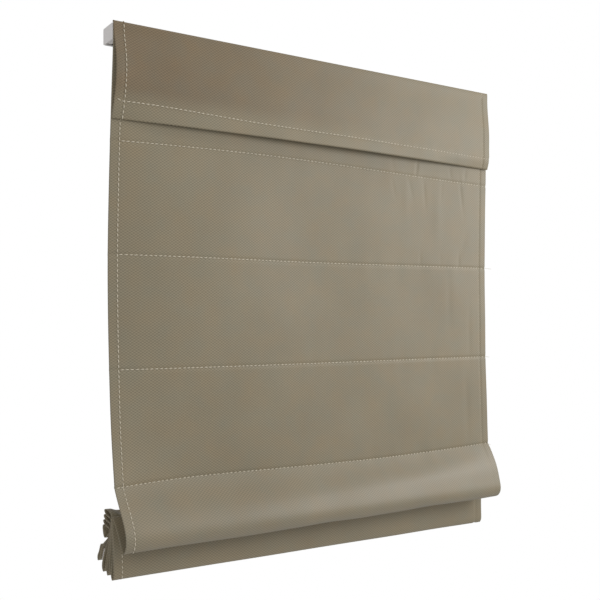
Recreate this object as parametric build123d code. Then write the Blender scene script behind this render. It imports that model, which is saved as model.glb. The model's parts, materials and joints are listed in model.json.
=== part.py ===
from build123d import *
import math
import os

# Half-raised roman blind on a slim headrail.
# Frame: +X to the viewer's right, +Y to the back, +Z up, in millimetres.
# Origin: midway between the two ceiling screw holes, on the ceiling plane.

# Cloth
blind_width = 800.0
rod_spacing = 180.0
fabric_thickness = 0.6
layer_gap = 0.5
hem_width = 12.5
fabric_top_drop = 0.5

# Headrail and its end caps
rail_depth = 40.0
rail_height = 25.0
rail_wall = 1.4
rail_slot_width = 27.0
rail_corner = 1.0
rail_inner_corner = 0.2
cap_plate = 2.0
cap_corner = 2.5
cap_plug_length = 9.0
cap_plug_wall = 1.8
cap_clearance = 0.2
cap_boss_wall = 2.0

# Ceiling brackets
bracket_spread_share = 0.70
bracket_width = 30.0
bracket_sheet = 1.5
bracket_lip = 4.0
bracket_tab_margin = 8.0
bracket_corner = 3.0
bracket_seat_gap = 0.1
screw_hole = 4.5
screw_setback = 10.0

# Hook and loop tape that carries the cloth
tape_thickness = 1.2
tape_height = 16.0
tape_margin = 1.0

# Rods in their sewn pockets, with the cord rings behind them
rod_radius = 2.0
rod_end_inset = 18.0
rod_play = 0.15
pocket_depth = 30.0
pocket_end_inset = 16.0
ring_radius = 5.6
ring_hole_radius = 4.3
ring_height = 1.6
ring_seat_gap = 0.2
anchor_height = 4.0

# Lift cords and the drive inside the rail
cord_radius = 0.6
cord_spread_share = 0.375
cord_hole_play = 0.2
knot_radius = 1.5
spool_length = 40.0
spool_drum_radius = 7.5
spool_flange_radius = 9.2
spool_flange = 1.5
journal_radius = 4.5
journal_length = 5.0
winding_gap = 0.1
winding_end_gap = 0.8
running_gap = 0.05
shaft_side = 5.0
shaft_play = 0.03
cradle_wall = 3.0
cradle_floor = 1.6
cradle_mouth_width = 8.2
cord_exit_width = 8.0
housing_length = 24.0
housing_setback = 2.0
wheel_radius = 9.0
wheel_width = 8.0
wheel_side_gap = 0.4
wheel_rim_gap = 0.6
chain_ball_radius = 2.2
chain_ball_count = 9

# Valance flap in front of the top
valance_length = 150.0
valance_hem_height = 28.0

# Bottom bar in the hem of the bottom panel
bar_height = 20.0
bar_thickness = 2.4
bar_end_inset = 6.0
bar_play = 0.2
bar_cap_wall = 0.8
bar_cap_length = 14.0
hem_seam = 4.0

# Stack of raised rods, from the fourth seam to the first rod below it
stack_depth = 8.0
stack_drop = 36.0
stack_rod_spacing = 8.0
stack_skew_back = 6.0
stack_skew_down = 30.0

# One overrun serves every cut
cut_overrun = 10.0

# Where the cloth hangs, as shares of the rod spacing: (depth behind its top edge, drop below it)
seam_left_shares = ((0.056, 0.994), (0.089, 1.967), (0.067, 2.961), (0.022, 4.006))
seam_right_shares = ((0.028, 1.030), (0.033, 1.983), (0.022, 2.994), (0.011, 3.994))

# Valance flap, as shares of its length: it bows forward, then falls back on the panel
valance_left_shares = ((-0.046, 0.50), (-0.012, 0.80), (0.040, 0.99))
valance_right_shares = ((-0.034, 0.50), (-0.014, 0.80), (0.008, 1.03))

# Front fold from the fourth seam, as shares of the rod spacing: out, down, under and back up
front_fold_left_shares = (
    (-0.106, 0.111), (-0.178, 0.206), (-0.256, 0.328), (-0.289, 0.389), (-0.269, 0.444),
    (-0.222, 0.467), (-0.150, 0.380), (-0.070, 0.285), (-0.012, 0.230),
)
front_fold_right_shares = (
    (-0.061, 0.083), (-0.111, 0.167), (-0.158, 0.272), (-0.189, 0.378), (-0.206, 0.467),
    (-0.136, 0.539), (-0.060, 0.480), (-0.010, 0.425), (0.030, 0.385),
)

# Hanging loops, from the seam of the rod above, as shares of the rod spacing
loop_shares = (
    ((-0.003, 0.120), (-0.009, 0.300), (-0.012, 0.444), (-0.003, 0.511), (0.020, 0.533), (0.042, 0.511),
     (0.044, 0.450), (0.028, 0.306), (0.0125, 0.180), (0.0095, 0.120)),
    ((0.000, 0.090), (0.006, 0.150), (0.026, 0.280), (0.042, 0.400), (0.053, 0.450), (0.076, 0.478),
     (0.098, 0.456), (0.092, 0.390), (0.053, 0.235), (0.021, 0.140), (0.0095, 0.085)),
    ((0.000, 0.045), (0.010, 0.085), (0.047, 0.190), (0.092, 0.345), (0.110, 0.394), (0.148, 0.428),
     (0.176, 0.400), (0.159, 0.322), (0.098, 0.195), (0.040, 0.115), (0.0105, 0.060)),
)

# Bottom panel, from the seam of the last rod to the top of its hem
bottom_panel_shares = (
    (0.000, 0.010), (0.012, 0.028), (0.045, 0.062), (0.110, 0.108), (0.160, 0.142), (0.196, 0.180),
)
bottom_hem_lean_deg = 25.0

# Worked out from the sizes above
half_width = blind_width / 2
bracket_spacing = blind_width * bracket_spread_share
cord_spacing = blind_width * cord_spread_share
rail_top_z = -bracket_sheet
rail_mid_z = rail_top_z - rail_height / 2
rail_floor_z = rail_top_z - rail_height + rail_wall
rail_back_y = -screw_setback
rail_front_y = rail_back_y - rail_depth
rail_mid_y = rail_front_y + rail_depth / 2
rail_length = blind_width - 2 * cap_plate
panel_front_y = rail_front_y - 2 * tape_thickness - fabric_thickness
valance_front_y = panel_front_y - fabric_thickness
fabric_top_z = -fabric_top_drop
tape_top_z = rail_top_z - bracket_lip - tape_margin
flat_top = fabric_top_z - (tape_top_z - tape_height) + tape_margin
tube_radius = rod_radius + rod_play + fabric_thickness
tube_centre = pocket_depth - tube_radius
ring_reach = pocket_depth + ring_seat_gap + ring_radius
stack_step_back = 2 * (fabric_thickness + layer_gap)
cord_places = (-cord_spacing, 0.0, cord_spacing)
side_names = ("left", "centre", "right")
winding_radius = spool_drum_radius + 2 * cord_radius
winding_start = cord_radius + winding_gap
winding_end = spool_length / 2 - journal_length - spool_flange - winding_end_gap
cord_exit_y = rail_mid_y + spool_drum_radius + cord_radius


def at(x, depth, drop):
    """Point from its depth behind the panel's top edge and its drop below that edge."""
    return Vector(x, panel_front_y + depth, fabric_top_z - drop)


def between(left, right, x):
    """Pair of depth and drop at x on the straight line from the left end to the right end."""
    share = (x + half_width) / blind_width
    return tuple(a + (b - a) * share for a, b in zip(left, right))


def scaled(shares, size):
    """Depths and drops of an outline given as shares of one size."""
    return [(depth * size, drop * size) for depth, drop in shares]


def shifted(points, origin):
    """Outline moved so that it starts from origin."""
    return [(depth + origin[0], drop + origin[1]) for depth, drop in points]


def offset_line(points, distance):
    """Outline moved sideways by distance, to the left of its direction of travel."""
    moved = []
    for index, (depth, drop) in enumerate(points):
        before = points[max(index - 1, 0)]
        after = points[min(index + 1, len(points) - 1)]
        run = (after[0] - before[0], after[1] - before[1])
        length = math.hypot(*run)
        moved.append((depth + distance * run[1] / length, drop - distance * run[0] / length))
    return moved


def curve(points, x, flat):
    """Edges along an outline: a straight first run where flat is set, then one smooth curve."""
    spots = [at(x, depth, drop) for depth, drop in points]
    if not flat:
        return [Edge.make_spline(spots)]
    start = spots[1] - spots[0]
    end = spots[-1] - spots[-2]
    bend = Edge.make_spline(spots[1:], tangents=[start, end])
    return [Edge.make_line(spots[0], spots[1]), bend]


def sheet_outline(points, x, near, far, flat=False):
    """Closed outline of a sheet whose two faces lie near and far behind the given line."""
    front = offset_line(points, near)
    back = offset_line(points, far)
    edges = curve(front, x, flat)
    edges.append(Edge.make_line(at(x, *front[-1]), at(x, *back[-1])))
    edges.extend(curve(back, x, flat))
    edges.append(Edge.make_line(at(x, *back[0]), at(x, *front[0])))
    return Wire(edges)


def lofted_sheet(left, right, x_from, x_to, near, far, flat=False):
    """Sheet between two outlines, from x_from to x_to, ruled across the width."""
    ends = []
    for x in (x_from, x_to):
        points = [between(a, b, x) for a, b in zip(left, right)]
        ends.append(sheet_outline(points, x, near, far, flat))
    return Solid.make_loft(ends, ruled=True)


def skewed(face, left, right, inset=0):
    """Solid that carries a face across the cloth, from inset inside one edge to the other."""
    x = half_width - inset
    run = at(x, *between(left, right, x)) - at(-x, *between(left, right, -x))
    return Solid.extrude(face, run)


def pocket_face(x, seam):
    """Keyhole outline at x: two layers of cloth behind the seam, then a tube round the rod."""
    seam_depth, seam_drop = seam
    root = seam_depth + fabric_thickness / 2
    centre = seam_depth + tube_centre
    meet = centre - math.sqrt(tube_radius**2 - fabric_thickness**2)
    top_root = at(x, root, seam_drop - fabric_thickness)
    top_meet = at(x, meet, seam_drop - fabric_thickness)
    low_meet = at(x, meet, seam_drop + fabric_thickness)
    low_root = at(x, root, seam_drop + fabric_thickness)
    rear = at(x, centre + tube_radius, seam_drop)
    edges = [
        Edge.make_line(top_root, top_meet),
        Edge.make_three_point_arc(top_meet, rear, low_meet),
        Edge.make_line(low_meet, low_root),
        Edge.make_line(low_root, top_root),
    ]
    return Face(Wire(edges))


def rod_line(left, right):
    """Ends of a pocket's centre line, at the two edges of the cloth."""
    start = at(-half_width, left[0] + tube_centre, left[1])
    end = at(half_width, right[0] + tube_centre, right[1])
    return start, end


def bar_between(start, end, radius):
    """Round bar from one point to another."""
    run = end - start
    return Solid.make_cylinder(radius, run.length, Plane(start, z_dir=run))


def pocket(left, right, inset=0):
    """Sewn pocket without its bore, from inset inside one edge of the cloth to the other."""
    x = inset - half_width
    return skewed(pocket_face(x, between(left, right, x)), left, right, inset)


def pocket_bore(left, right):
    """Space that the rod takes in a pocket, past both edges of the cloth."""
    start, end = rod_line(left, right)
    reach = (end - start).normalized() * cut_overrun
    return bar_between(start - reach, end + reach, rod_radius + rod_play)


def rod(left, right):
    """Rod in a pocket, short of the edges of the cloth."""
    start, end = rod_line(left, right)
    inset = (end - start).normalized() * rod_end_inset
    return bar_between(start + inset, end - inset, rod_radius)


def ring_centre(left, right, x):
    """Centre of a cord ring behind a pocket."""
    depth, drop = between(left, right, x)
    return at(x, depth + ring_reach, drop)


def ring(centre):
    """Cord ring, lying flat so that the cord runs down through it."""
    low = Plane(centre - Vector(0, 0, ring_height / 2))
    body = Solid.make_cylinder(ring_radius, ring_height, low)
    hole = Solid.make_cylinder(ring_hole_radius, ring_height, low)
    return body - hole


def box_between(low, high):
    """Box from its lowest to its highest corner."""
    size = high - low
    return Solid.make_box(size.X, size.Y, size.Z, Plane(low))


def along_x(radius, start, length, y=rail_mid_y, z=rail_mid_z):
    """Round bar along X, by default on the drive's axis."""
    return Solid.make_cylinder(radius, length, Plane((start, y, z), x_dir=(0, 1, 0), z_dir=(1, 0, 0)))


def square_bore(start, length, side):
    """Square bar along the drive's axis."""
    low = Vector(start, rail_mid_y - side / 2, rail_mid_z - side / 2)
    return box_between(low, low + Vector(length, side, side))


def rail_outline(inset, corner):
    """Rounded rectangle of the rail's section, made smaller all round by inset."""
    depth = rail_depth - 2 * inset
    height = rail_height - 2 * inset
    plane = Plane((0, rail_mid_y, rail_mid_z), x_dir=(0, 1, 0), z_dir=(1, 0, 0))
    return plane * RectangleRounded(depth, height, corner)


def rail_prism(inset, corner, start, length):
    """Rounded bar of the rail's section from start along X."""
    return Pos(start, 0, 0) * extrude(rail_outline(inset, corner), amount=length)


def make_headrail():
    """Channel with a slot along its underside for the cords."""
    start = -rail_length / 2
    body = rail_prism(0, rail_corner, start, rail_length)
    body -= rail_prism(rail_wall, rail_inner_corner, start - cut_overrun, rail_length + 2 * cut_overrun)
    half_slot = rail_slot_width / 2
    slot_low_z = rail_floor_z - rail_wall - cut_overrun
    low = Vector(start - cut_overrun, rail_mid_y - half_slot, slot_low_z)
    high = Vector(-start + cut_overrun, rail_mid_y + half_slot, rail_floor_z + rail_wall)
    return body - box_between(low, high)


def make_end_cap(side):
    """Moulded cap: plate, hollow plug that fits the rail and a boss for the drive's end bush."""
    plate_start = side * half_width - (cap_plate if side > 0 else 0)
    inner = side * (half_width - cap_plate)
    plug_start = inner - (cap_plug_length if side > 0 else 0)
    plug_inset = rail_wall + cap_clearance
    body = rail_prism(0, cap_corner, plate_start, cap_plate)
    plug = rail_prism(plug_inset, rail_corner, plug_start, cap_plug_length)
    plug -= rail_prism(plug_inset + cap_plug_wall, rail_inner_corner, plug_start, cap_plug_length)
    bore = journal_radius + running_gap
    boss = along_x(bore + cap_boss_wall, plug_start, cap_plug_length)
    boss -= along_x(bore, plug_start, cap_plug_length)
    return body + plug + boss


def make_bracket(x):
    """Folded steel clip over the rail, with a screw tab behind it."""
    tab_back_y = bracket_tab_margin
    front_y = rail_front_y - bracket_seat_gap - bracket_sheet
    rear_lip_y = rail_back_y + bracket_seat_gap
    lip_z = rail_top_z - bracket_lip
    left_x = x - bracket_width / 2
    right_x = x + bracket_width / 2
    plate = box_between(Vector(left_x, front_y, -bracket_sheet), Vector(right_x, tab_back_y, 0))
    front_lip = box_between(Vector(left_x, front_y, lip_z), Vector(right_x, front_y + bracket_sheet, 0))
    rear_lip = box_between(Vector(left_x, rear_lip_y, lip_z), Vector(right_x, rear_lip_y + bracket_sheet, 0))
    body = plate + front_lip + rear_lip
    tab_edges = body.edges().filter_by(Axis.Z).group_by(Axis.Y)[-1]
    body = fillet(tab_edges, bracket_corner)
    low = Plane((x, 0, -bracket_sheet - cut_overrun))
    return body - Solid.make_cylinder(screw_hole / 2, bracket_sheet + 2 * cut_overrun, low)


def make_tape(front_y):
    """Strip of hook or loop tape along the rail, between the panel's side hems."""
    end = half_width - hem_width - tape_margin
    low = Vector(-end, front_y, tape_top_z - tape_height)
    return box_between(low, Vector(end, front_y + tape_thickness, tape_top_z))


def panel_line(seams):
    """Panel's outline at one end: flat at the tape, then through its seams."""
    return [(0, 0), (0, flat_top)] + scaled(seams, rod_spacing)


def valance_line(shares):
    """Valance's outline at one end, just in front of the panel's top."""
    points = [(0, 0), (0, flat_top)] + scaled(shares, valance_length)
    return shifted(points, (valance_front_y - panel_front_y, 0))


def hemmed_sheet(left, right):
    """Sheet of one layer between two side hems, where the cloth is folded to two layers."""
    inner = half_width - hem_width
    body = lofted_sheet(left, right, -inner, inner, 0, fabric_thickness, True)
    body += lofted_sheet(left, right, -half_width, -inner, 0, 2 * fabric_thickness, True)
    body += lofted_sheet(left, right, inner, half_width, 0, 2 * fabric_thickness, True)
    return body


def make_face_fabric():
    """Main panel with side hems and its four sewn rod pockets."""
    left, right = panel_line(seam_left_shares), panel_line(seam_right_shares)
    body = hemmed_sheet(left, right)
    for ends in fixed_seams:
        body += pocket(*ends, pocket_end_inset)
    for ends in fixed_seams:
        body -= pocket_bore(*ends)
    return body


def make_valance():
    """Free flap in front of the top, with a turned-up hem along its lower edge."""
    left, right = valance_line(valance_left_shares), valance_line(valance_right_shares)
    body = lofted_sheet(left, right, -half_width, half_width, 0, fabric_thickness, True)
    hem_share = valance_hem_height / (valance_length * (1 - valance_left_shares[-2][1]))
    hem_left = [between_points(left[-1], left[-2], hem_share), left[-1]]
    hem_right = [between_points(right[-1], right[-2], hem_share), right[-1]]
    near, far = fabric_thickness / 2, 2 * fabric_thickness
    return body + lofted_sheet(hem_left, hem_right, -half_width, half_width, near, far)


def between_points(start, end, share):
    """Point on the straight line from start to end."""
    return tuple(a + (b - a) * share for a, b in zip(start, end))


def make_front_fold():
    """Soft roll of cloth from the fourth seam to the first raised rod."""
    lines = []
    for seam, lower, shares in (
        (fixed_seams[-1][0], raised_seams[0][0], front_fold_left_shares),
        (fixed_seams[-1][1], raised_seams[0][1], front_fold_right_shares),
    ):
        start = (seam[0], seam[1] + fabric_thickness + layer_gap)
        middle = shifted(scaled(shares, rod_spacing), seam)
        lines.append([start] + middle + [inner_end(lower)])
    return lofted_sheet(lines[0], lines[1], -half_width, half_width, 0, fabric_thickness)


def inner_end(lower):
    """Where a loop's inner leg ends: just in front of the seam that it comes up to."""
    return (lower[0] - layer_gap, lower[1] - fabric_thickness)


def make_loop(index):
    """Hanging loop of cloth with the pocket of the rod above it."""
    upper, lower = raised_seams[index], raised_seams[index + 1]
    start = (upper[0][0], upper[0][1] - fabric_thickness)
    line = [start] + shifted(scaled(loop_shares[index], rod_spacing), upper[0]) + [inner_end(lower[0])]
    outline = sheet_outline(line, -half_width, 0, fabric_thickness)
    body = skewed(Face(outline), *upper) + pocket(*upper)
    return body - pocket_bore(*upper)


def hem_frame():
    """Top of the bottom hem at the left end, with the directions down the hem and behind it."""
    top = shifted(scaled(bottom_panel_shares, rod_spacing), raised_seams[-1][0])[-1]
    lean = math.radians(bottom_hem_lean_deg)
    return top, (math.sin(lean), math.cos(lean)), (math.cos(lean), -math.sin(lean))


def hem_block(down_from, down_to, back_from, back_to):
    """Bar of rectangular section that lies in the hem, from edge to edge of the cloth."""
    top, down, back = hem_frame()
    corners = []
    outline = ((down_from, back_from), (down_to, back_from), (down_to, back_to), (down_from, back_to))
    for along, behind in outline:
        depth = top[0] + along * down[0] + behind * back[0]
        drop = top[1] + along * down[1] + behind * back[1]
        corners.append(at(-half_width, depth, drop))
    return skewed(Face(Wire.make_polygon(corners)), *raised_seams[-1])


def slice_x(body, x_from, x_to):
    """Part of a body between two planes across its width."""
    reach = Vector(0, slice_reach, slice_reach)
    return body & box_between(Vector(x_from, 0, 0) - reach, Vector(x_to, 0, 0) + reach)


def make_bottom_panel():
    """Last panel of cloth, with the last rod's pocket and a hem that holds the bottom bar."""
    seam = raised_seams[-1]
    start = (seam[0][0], seam[0][1] - fabric_thickness)
    line = [start] + shifted(scaled(bottom_panel_shares, rod_spacing), seam[0])
    body = skewed(Face(sheet_outline(line, -half_width, 0, fabric_thickness)), *seam)
    body += pocket(*seam)
    body += hem_block(-hem_seam / 2, hem_length, 0, hem_thickness)
    room_end, room_back = hem_length - fabric_thickness, hem_thickness - fabric_thickness
    body -= hem_block(hem_seam, room_end, fabric_thickness, room_back)
    return body - pocket_bore(*seam)


def make_bottom_bar():
    """Flat bar that weighs the cloth down."""
    body = hem_block(bar_top, bar_top + bar_height, bar_front, bar_back)
    return slice_x(body, bar_end_inset - half_width, half_width - bar_end_inset)


def make_cord(x):
    """Lift cord from its spool down through every ring to the knot under its anchor."""
    spots = [Vector(x, cord_exit_y, rail_mid_z)]
    spots += [ring_centre(*ends, x) for ends in fixed_seams]
    stack = [ring_centre(*ends, x) for ends in raised_seams]
    mean_y = (stack[0].Y + stack[-1].Y) / 2
    stack_top = Vector(x, mean_y, stack[0].Z + ring_height)
    anchor_low = Vector(x, mean_y, stack[-1].Z - anchor_height / 2 - knot_radius)
    spots += [stack_top, anchor_low]
    body = Solid.make_sphere(knot_radius, Plane(anchor_low), -90, 90, 360)
    for start, end in zip(spots, spots[1:]):
        body += bar_between(start, end, cord_radius)
    for spot in spots[1:-1]:
        body += Solid.make_sphere(cord_radius, Plane(spot), -90, 90, 360)
    return body


def make_anchor(x):
    """Barrel behind the last pocket that the cord is tied into."""
    stack = [ring_centre(*ends, x) for ends in raised_seams]
    cord_y = (stack[0].Y + stack[-1].Y) / 2
    low_z = stack[-1].Z - anchor_height / 2
    body = Solid.make_cylinder(ring_radius, anchor_height, Plane((x, stack[-1].Y, low_z)))
    bore = Solid.make_cylinder(cord_radius + cord_hole_play, anchor_height, Plane((x, cord_y, low_z)))
    return body - bore


def make_spool(x):
    """Flanged drum with a journal at each end and a square bore for the shaft."""
    start = x - spool_length / 2
    body = along_x(journal_radius, start, spool_length)
    flange_start = start + journal_length
    drum_length = spool_length - 2 * journal_length
    body += along_x(spool_drum_radius, flange_start, drum_length)
    body += along_x(spool_flange_radius, flange_start, spool_flange)
    body += along_x(spool_flange_radius, flange_start + drum_length - spool_flange, spool_flange)
    return body - square_bore(start, spool_length, shaft_side + 2 * shaft_play)


def make_winding(x):
    """Turns of cord wound on a drum."""
    length = winding_end - winding_start
    body = along_x(winding_radius, x + winding_start, length)
    return body - along_x(spool_drum_radius, x + winding_start, length)


def make_cradle(x):
    """Open cradle on the rail's floor with a snap bearing at each end and a hole for the cord."""
    half_inside = rail_depth / 2 - rail_wall - cap_clearance
    top_z = rail_top_z - rail_wall - cap_clearance
    start, end = x - spool_length / 2, x + spool_length / 2
    wall_shift = (journal_length - cradle_wall) / 2
    low = Vector(start + wall_shift, rail_mid_y - half_inside, rail_floor_z)
    high = Vector(end - wall_shift, rail_mid_y + half_inside, rail_floor_z + cradle_floor)
    body = box_between(low, high)
    for wall_x in (start + wall_shift, end - wall_shift - cradle_wall):
        wall_low = Vector(wall_x, rail_mid_y - half_inside, rail_floor_z)
        body += box_between(wall_low, Vector(wall_x + cradle_wall, rail_mid_y + half_inside, top_z))
        body -= along_x(journal_radius + running_gap, wall_x, cradle_wall)
        mouth_low = Vector(wall_x, rail_mid_y - cradle_mouth_width / 2, rail_mid_z)
        mouth_high = Vector(wall_x + cradle_wall, rail_mid_y + cradle_mouth_width / 2, top_z + cut_overrun)
        body -= box_between(mouth_low, mouth_high)
    half_exit = cord_exit_width / 2
    exit_low = Vector(x - half_exit, cord_exit_y - half_exit, rail_floor_z - cut_overrun)
    exit_high = Vector(x + half_exit, cord_exit_y + half_exit, rail_floor_z + cradle_floor + running_gap)
    return body - box_between(exit_low, exit_high)


def make_housing():
    """Block at the right end that carries the chain wheel, open below for the chain."""
    half_inside = rail_depth / 2 - rail_wall - cap_clearance
    top_z = rail_top_z - rail_wall - cap_clearance
    low = Vector(housing_start, rail_mid_y - half_inside, rail_floor_z)
    high = Vector(housing_start + housing_length, rail_mid_y + half_inside, top_z)
    body = box_between(low, high)
    room = wheel_width + 2 * wheel_side_gap
    room_start = housing_start + (housing_length - room) / 2
    room_radius = wheel_radius + wheel_rim_gap
    body -= along_x(room_radius, room_start, room)
    mouth_low = Vector(room_start, rail_mid_y - room_radius, rail_floor_z - cut_overrun)
    body -= box_between(mouth_low, Vector(room_start + room, rail_mid_y + room_radius, rail_mid_z))
    return body - along_x(journal_radius + running_gap, housing_start, housing_length)


def make_chain_wheel():
    """Wheel with a ring of pockets for the chain's balls and a journal on each side."""
    middle = housing_start + housing_length / 2
    body = along_x(wheel_radius, middle - wheel_width / 2, wheel_width)
    body += along_x(journal_radius, housing_start, housing_length)
    for index in range(chain_ball_count):
        turn = 2 * math.pi * index / chain_ball_count
        y = rail_mid_y + wheel_radius * math.cos(turn)
        z = rail_mid_z + wheel_radius * math.sin(turn)
        body -= Solid.make_sphere(chain_ball_radius, Plane((middle, y, z)), -90, 90, 360)
    return body - square_bore(housing_start, housing_length, shaft_side + 2 * shaft_play)


def make_bush():
    """Round bush on the shaft's free end, turning in the left cap's boss."""
    body = along_x(journal_radius, bush_start, bush_length)
    return body - square_bore(bush_start, bush_length, shaft_side + 2 * shaft_play)


def make_bar_cap(side):
    """Closed cap over one end of the bottom bar, inside the hem."""
    wall = bar_cap_wall
    shell = hem_block(bar_top - wall, bar_top + bar_height + wall, bar_front - wall, bar_back + wall)
    outer = half_width - bar_end_inset + wall
    inner = outer - bar_cap_length
    shell = slice_x(shell, inner, outer) if side > 0 else slice_x(shell, -outer, -inner)
    return shell - make_bottom_bar()


# Ends of each seam as (depth, drop) pairs, left then right
fixed_seams = list(zip(scaled(seam_left_shares, rod_spacing), scaled(seam_right_shares, rod_spacing)))
raised_seams = []
for raised_index in range(len(loop_shares) + 1):
    last_left, last_right = fixed_seams[-1]
    raised_left = (
        stack_depth + raised_index * stack_step_back,
        last_left[1] + stack_drop + raised_index * stack_rod_spacing,
    )
    raised_seams.append((raised_left, (raised_left[0] + stack_skew_back, raised_left[1] + stack_skew_down)))

# Hem of the bottom panel round its bar and the bar's caps
bar_room = bar_cap_wall + bar_play
bar_front = fabric_thickness + bar_room
bar_back = bar_front + bar_thickness
hem_thickness = bar_back + bar_room + fabric_thickness
bar_top = hem_seam + bar_room
hem_length = bar_top + bar_height + bar_room + fabric_thickness
slice_reach = blind_width + len(seam_left_shares) * rod_spacing

# Drive along the rail
housing_start = rail_length / 2 - cap_plug_length - housing_setback - housing_length
bush_start = -rail_length / 2
bush_length = cap_plug_length
shaft_start = bush_start
shaft_length = housing_start + housing_length - shaft_start


def make_parts():
    """Every node of the blind by name."""
    nodes = {
        "headrail": make_headrail(),
        "end_cap_left": make_end_cap(-1),
        "end_cap_right": make_end_cap(1),
        "bracket_left": make_bracket(-bracket_spacing / 2),
        "bracket_right": make_bracket(bracket_spacing / 2),
        "hook_tape": make_tape(rail_front_y - tape_thickness),
        "loop_tape": make_tape(rail_front_y - 2 * tape_thickness),
        "valance": make_valance(),
        "face_fabric": make_face_fabric(),
        "front_fold": make_front_fold(),
        "bottom_panel": make_bottom_panel(),
        "bottom_bar": make_bottom_bar(),
        "bottom_bar_cap_left": make_bar_cap(-1),
        "bottom_bar_cap_right": make_bar_cap(1),
        "drive_housing": make_housing(),
        "chain_wheel": make_chain_wheel(),
        "shaft_bush": make_bush(),
        "drive_shaft": square_bore(shaft_start, shaft_length, shaft_side),
        "cord_windings": Compound([make_winding(x) for x in cord_places]),
        "cord_anchors": Compound([make_anchor(x) for x in cord_places]),
        "cord_rings_upper": Compound([ring(ring_centre(*e, x)) for e in fixed_seams for x in cord_places]),
    }
    for number, ends in enumerate(fixed_seams + raised_seams, start=1):
        nodes[f"rod_{number}"] = rod(*ends)
    for index, ends in enumerate(raised_seams[:-1]):
        number = len(fixed_seams) + 1 + index
        nodes[f"cord_rings_{number}"] = Compound([ring(ring_centre(*ends, x)) for x in cord_places])
        nodes[f"hanging_loop_{index + 1}"] = make_loop(index)
    for name, x in zip(side_names, cord_places):
        nodes[f"cord_spool_{name}"] = make_spool(x)
        nodes[f"spool_cradle_{name}"] = make_cradle(x)
        nodes[f"lift_cord_{name}"] = make_cord(x)
    return nodes


os.makedirs("parts", exist_ok=True)
for node, solid in make_parts().items():
    export_step(solid, f"parts/{node}.step")
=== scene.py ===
"""Dressed scene of a half-raised roman blind: its cloth, stitches, cords, hardware and studio."""

import json
import logging
import math
from dataclasses import dataclass, replace
from enum import Enum

import bpy
import numpy as np
from bpy.types import ID, Material, Node, NodeSocket, NodeTree, Object
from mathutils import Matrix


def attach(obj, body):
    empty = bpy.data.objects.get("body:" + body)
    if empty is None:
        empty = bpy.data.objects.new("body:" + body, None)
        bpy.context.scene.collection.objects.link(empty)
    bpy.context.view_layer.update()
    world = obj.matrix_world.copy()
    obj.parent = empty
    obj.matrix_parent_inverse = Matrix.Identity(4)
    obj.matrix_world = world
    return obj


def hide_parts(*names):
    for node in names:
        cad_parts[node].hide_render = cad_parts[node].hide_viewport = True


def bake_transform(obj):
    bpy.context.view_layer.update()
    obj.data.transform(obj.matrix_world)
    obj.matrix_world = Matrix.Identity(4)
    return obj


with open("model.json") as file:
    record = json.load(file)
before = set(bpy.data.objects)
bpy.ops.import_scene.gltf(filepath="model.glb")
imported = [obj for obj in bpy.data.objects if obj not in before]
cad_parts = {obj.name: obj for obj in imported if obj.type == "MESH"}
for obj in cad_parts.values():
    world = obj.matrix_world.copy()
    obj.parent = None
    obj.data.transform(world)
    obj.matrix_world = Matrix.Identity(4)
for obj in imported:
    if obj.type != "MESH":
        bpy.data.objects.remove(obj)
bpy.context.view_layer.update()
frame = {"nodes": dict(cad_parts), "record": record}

LOG = logging.getLogger("roman_blind")
# Lengths are in millimetres unless a docstring says otherwise, and MM turns them into metres.
MM = 0.001
HALF_WIDTH = 400.0
EDGES = (-HALF_WIDTH, HALF_WIDTH)
FRONT_Y = -53.6
TOP_Z = -0.5
CLOTH = 0.6
LAYER_GAP = 1.15 * CLOTH
PANEL_LENGTH = 722.0
LOOP_LENGTH = 170.0
# Rows of stitches sink into the cloth between these places across.
STITCH_FADE = (60.0, 330.0)

Array = np.ndarray
Pair = tuple[float, float]
Triple = tuple[float, float, float]
Outline = tuple[Pair, ...]
Two = tuple[Array, Array]


class Body(Enum):
    """Bodies of the blind that pieces ride on."""

    HEAD = "head"
    FOLD_1 = "fold_1"
    FOLD_2 = "fold_2"
    FOLD_3 = "fold_3"
    FOLD_4 = "fold_4"


FOLDS = (Body.FOLD_1, Body.FOLD_2, Body.FOLD_3, Body.FOLD_4)


def spot(x: Array, depth: Array, drop: Array) -> Array:
    """Points in metres from millimetres across, behind the valance's front and below the cloth's top."""
    x, depth, drop = np.broadcast_arrays(x, depth, drop)
    return np.stack([x, depth + FRONT_Y, TOP_Z - drop], axis=-1) * MM


def spline_weights(knots: Array, samples: Array) -> Array:
    """Weights of a natural cubic spline: row times control values gives the curve at a sample.

    The second derivatives at the knots solve the usual three-term system, once for every
    control value, and each sample mixes the two knots beside it.

    Args:
        knots: Rising parameters of the control values.
        samples: Parameters to evaluate at.

    Returns:
        Array of samples by knots.
    """
    count = len(knots)
    step = np.diff(knots)
    system = np.zeros((count, count))
    right_side = np.zeros((count, count))
    system[0, 0] = system[-1, -1] = 1.0
    row = np.arange(1, count - 1)
    system[row, row - 1] = step[:-1]
    system[row, row] = 2 * (step[:-1] + step[1:])
    system[row, row + 1] = step[1:]
    right_side[row, row - 1] = 6 / step[:-1]
    right_side[row, row] = -6 / step[:-1] - 6 / step[1:]
    right_side[row, row + 1] = 6 / step[1:]
    bend = np.linalg.solve(system, right_side)
    at = np.clip(np.searchsorted(knots, samples, side="right") - 1, 0, count - 2)
    width = step[at]
    before = (knots[at + 1] - samples) / width
    after = (samples - knots[at]) / width
    pick = np.eye(count)
    curve = (before**3 - before)[:, None] * bend[at] + (after**3 - after)[:, None] * bend[at + 1]
    straight = before[:, None] * pick[at] + after[:, None] * pick[at + 1]
    return straight + (width**2 / 6)[:, None] * curve


def bell(value: Array, centre: Array | float, width: float) -> Array:
    """Bell curve: the exponential of minus the square of the distance over the width."""
    return np.exp(-(((value - centre) / width) ** 2))


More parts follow.
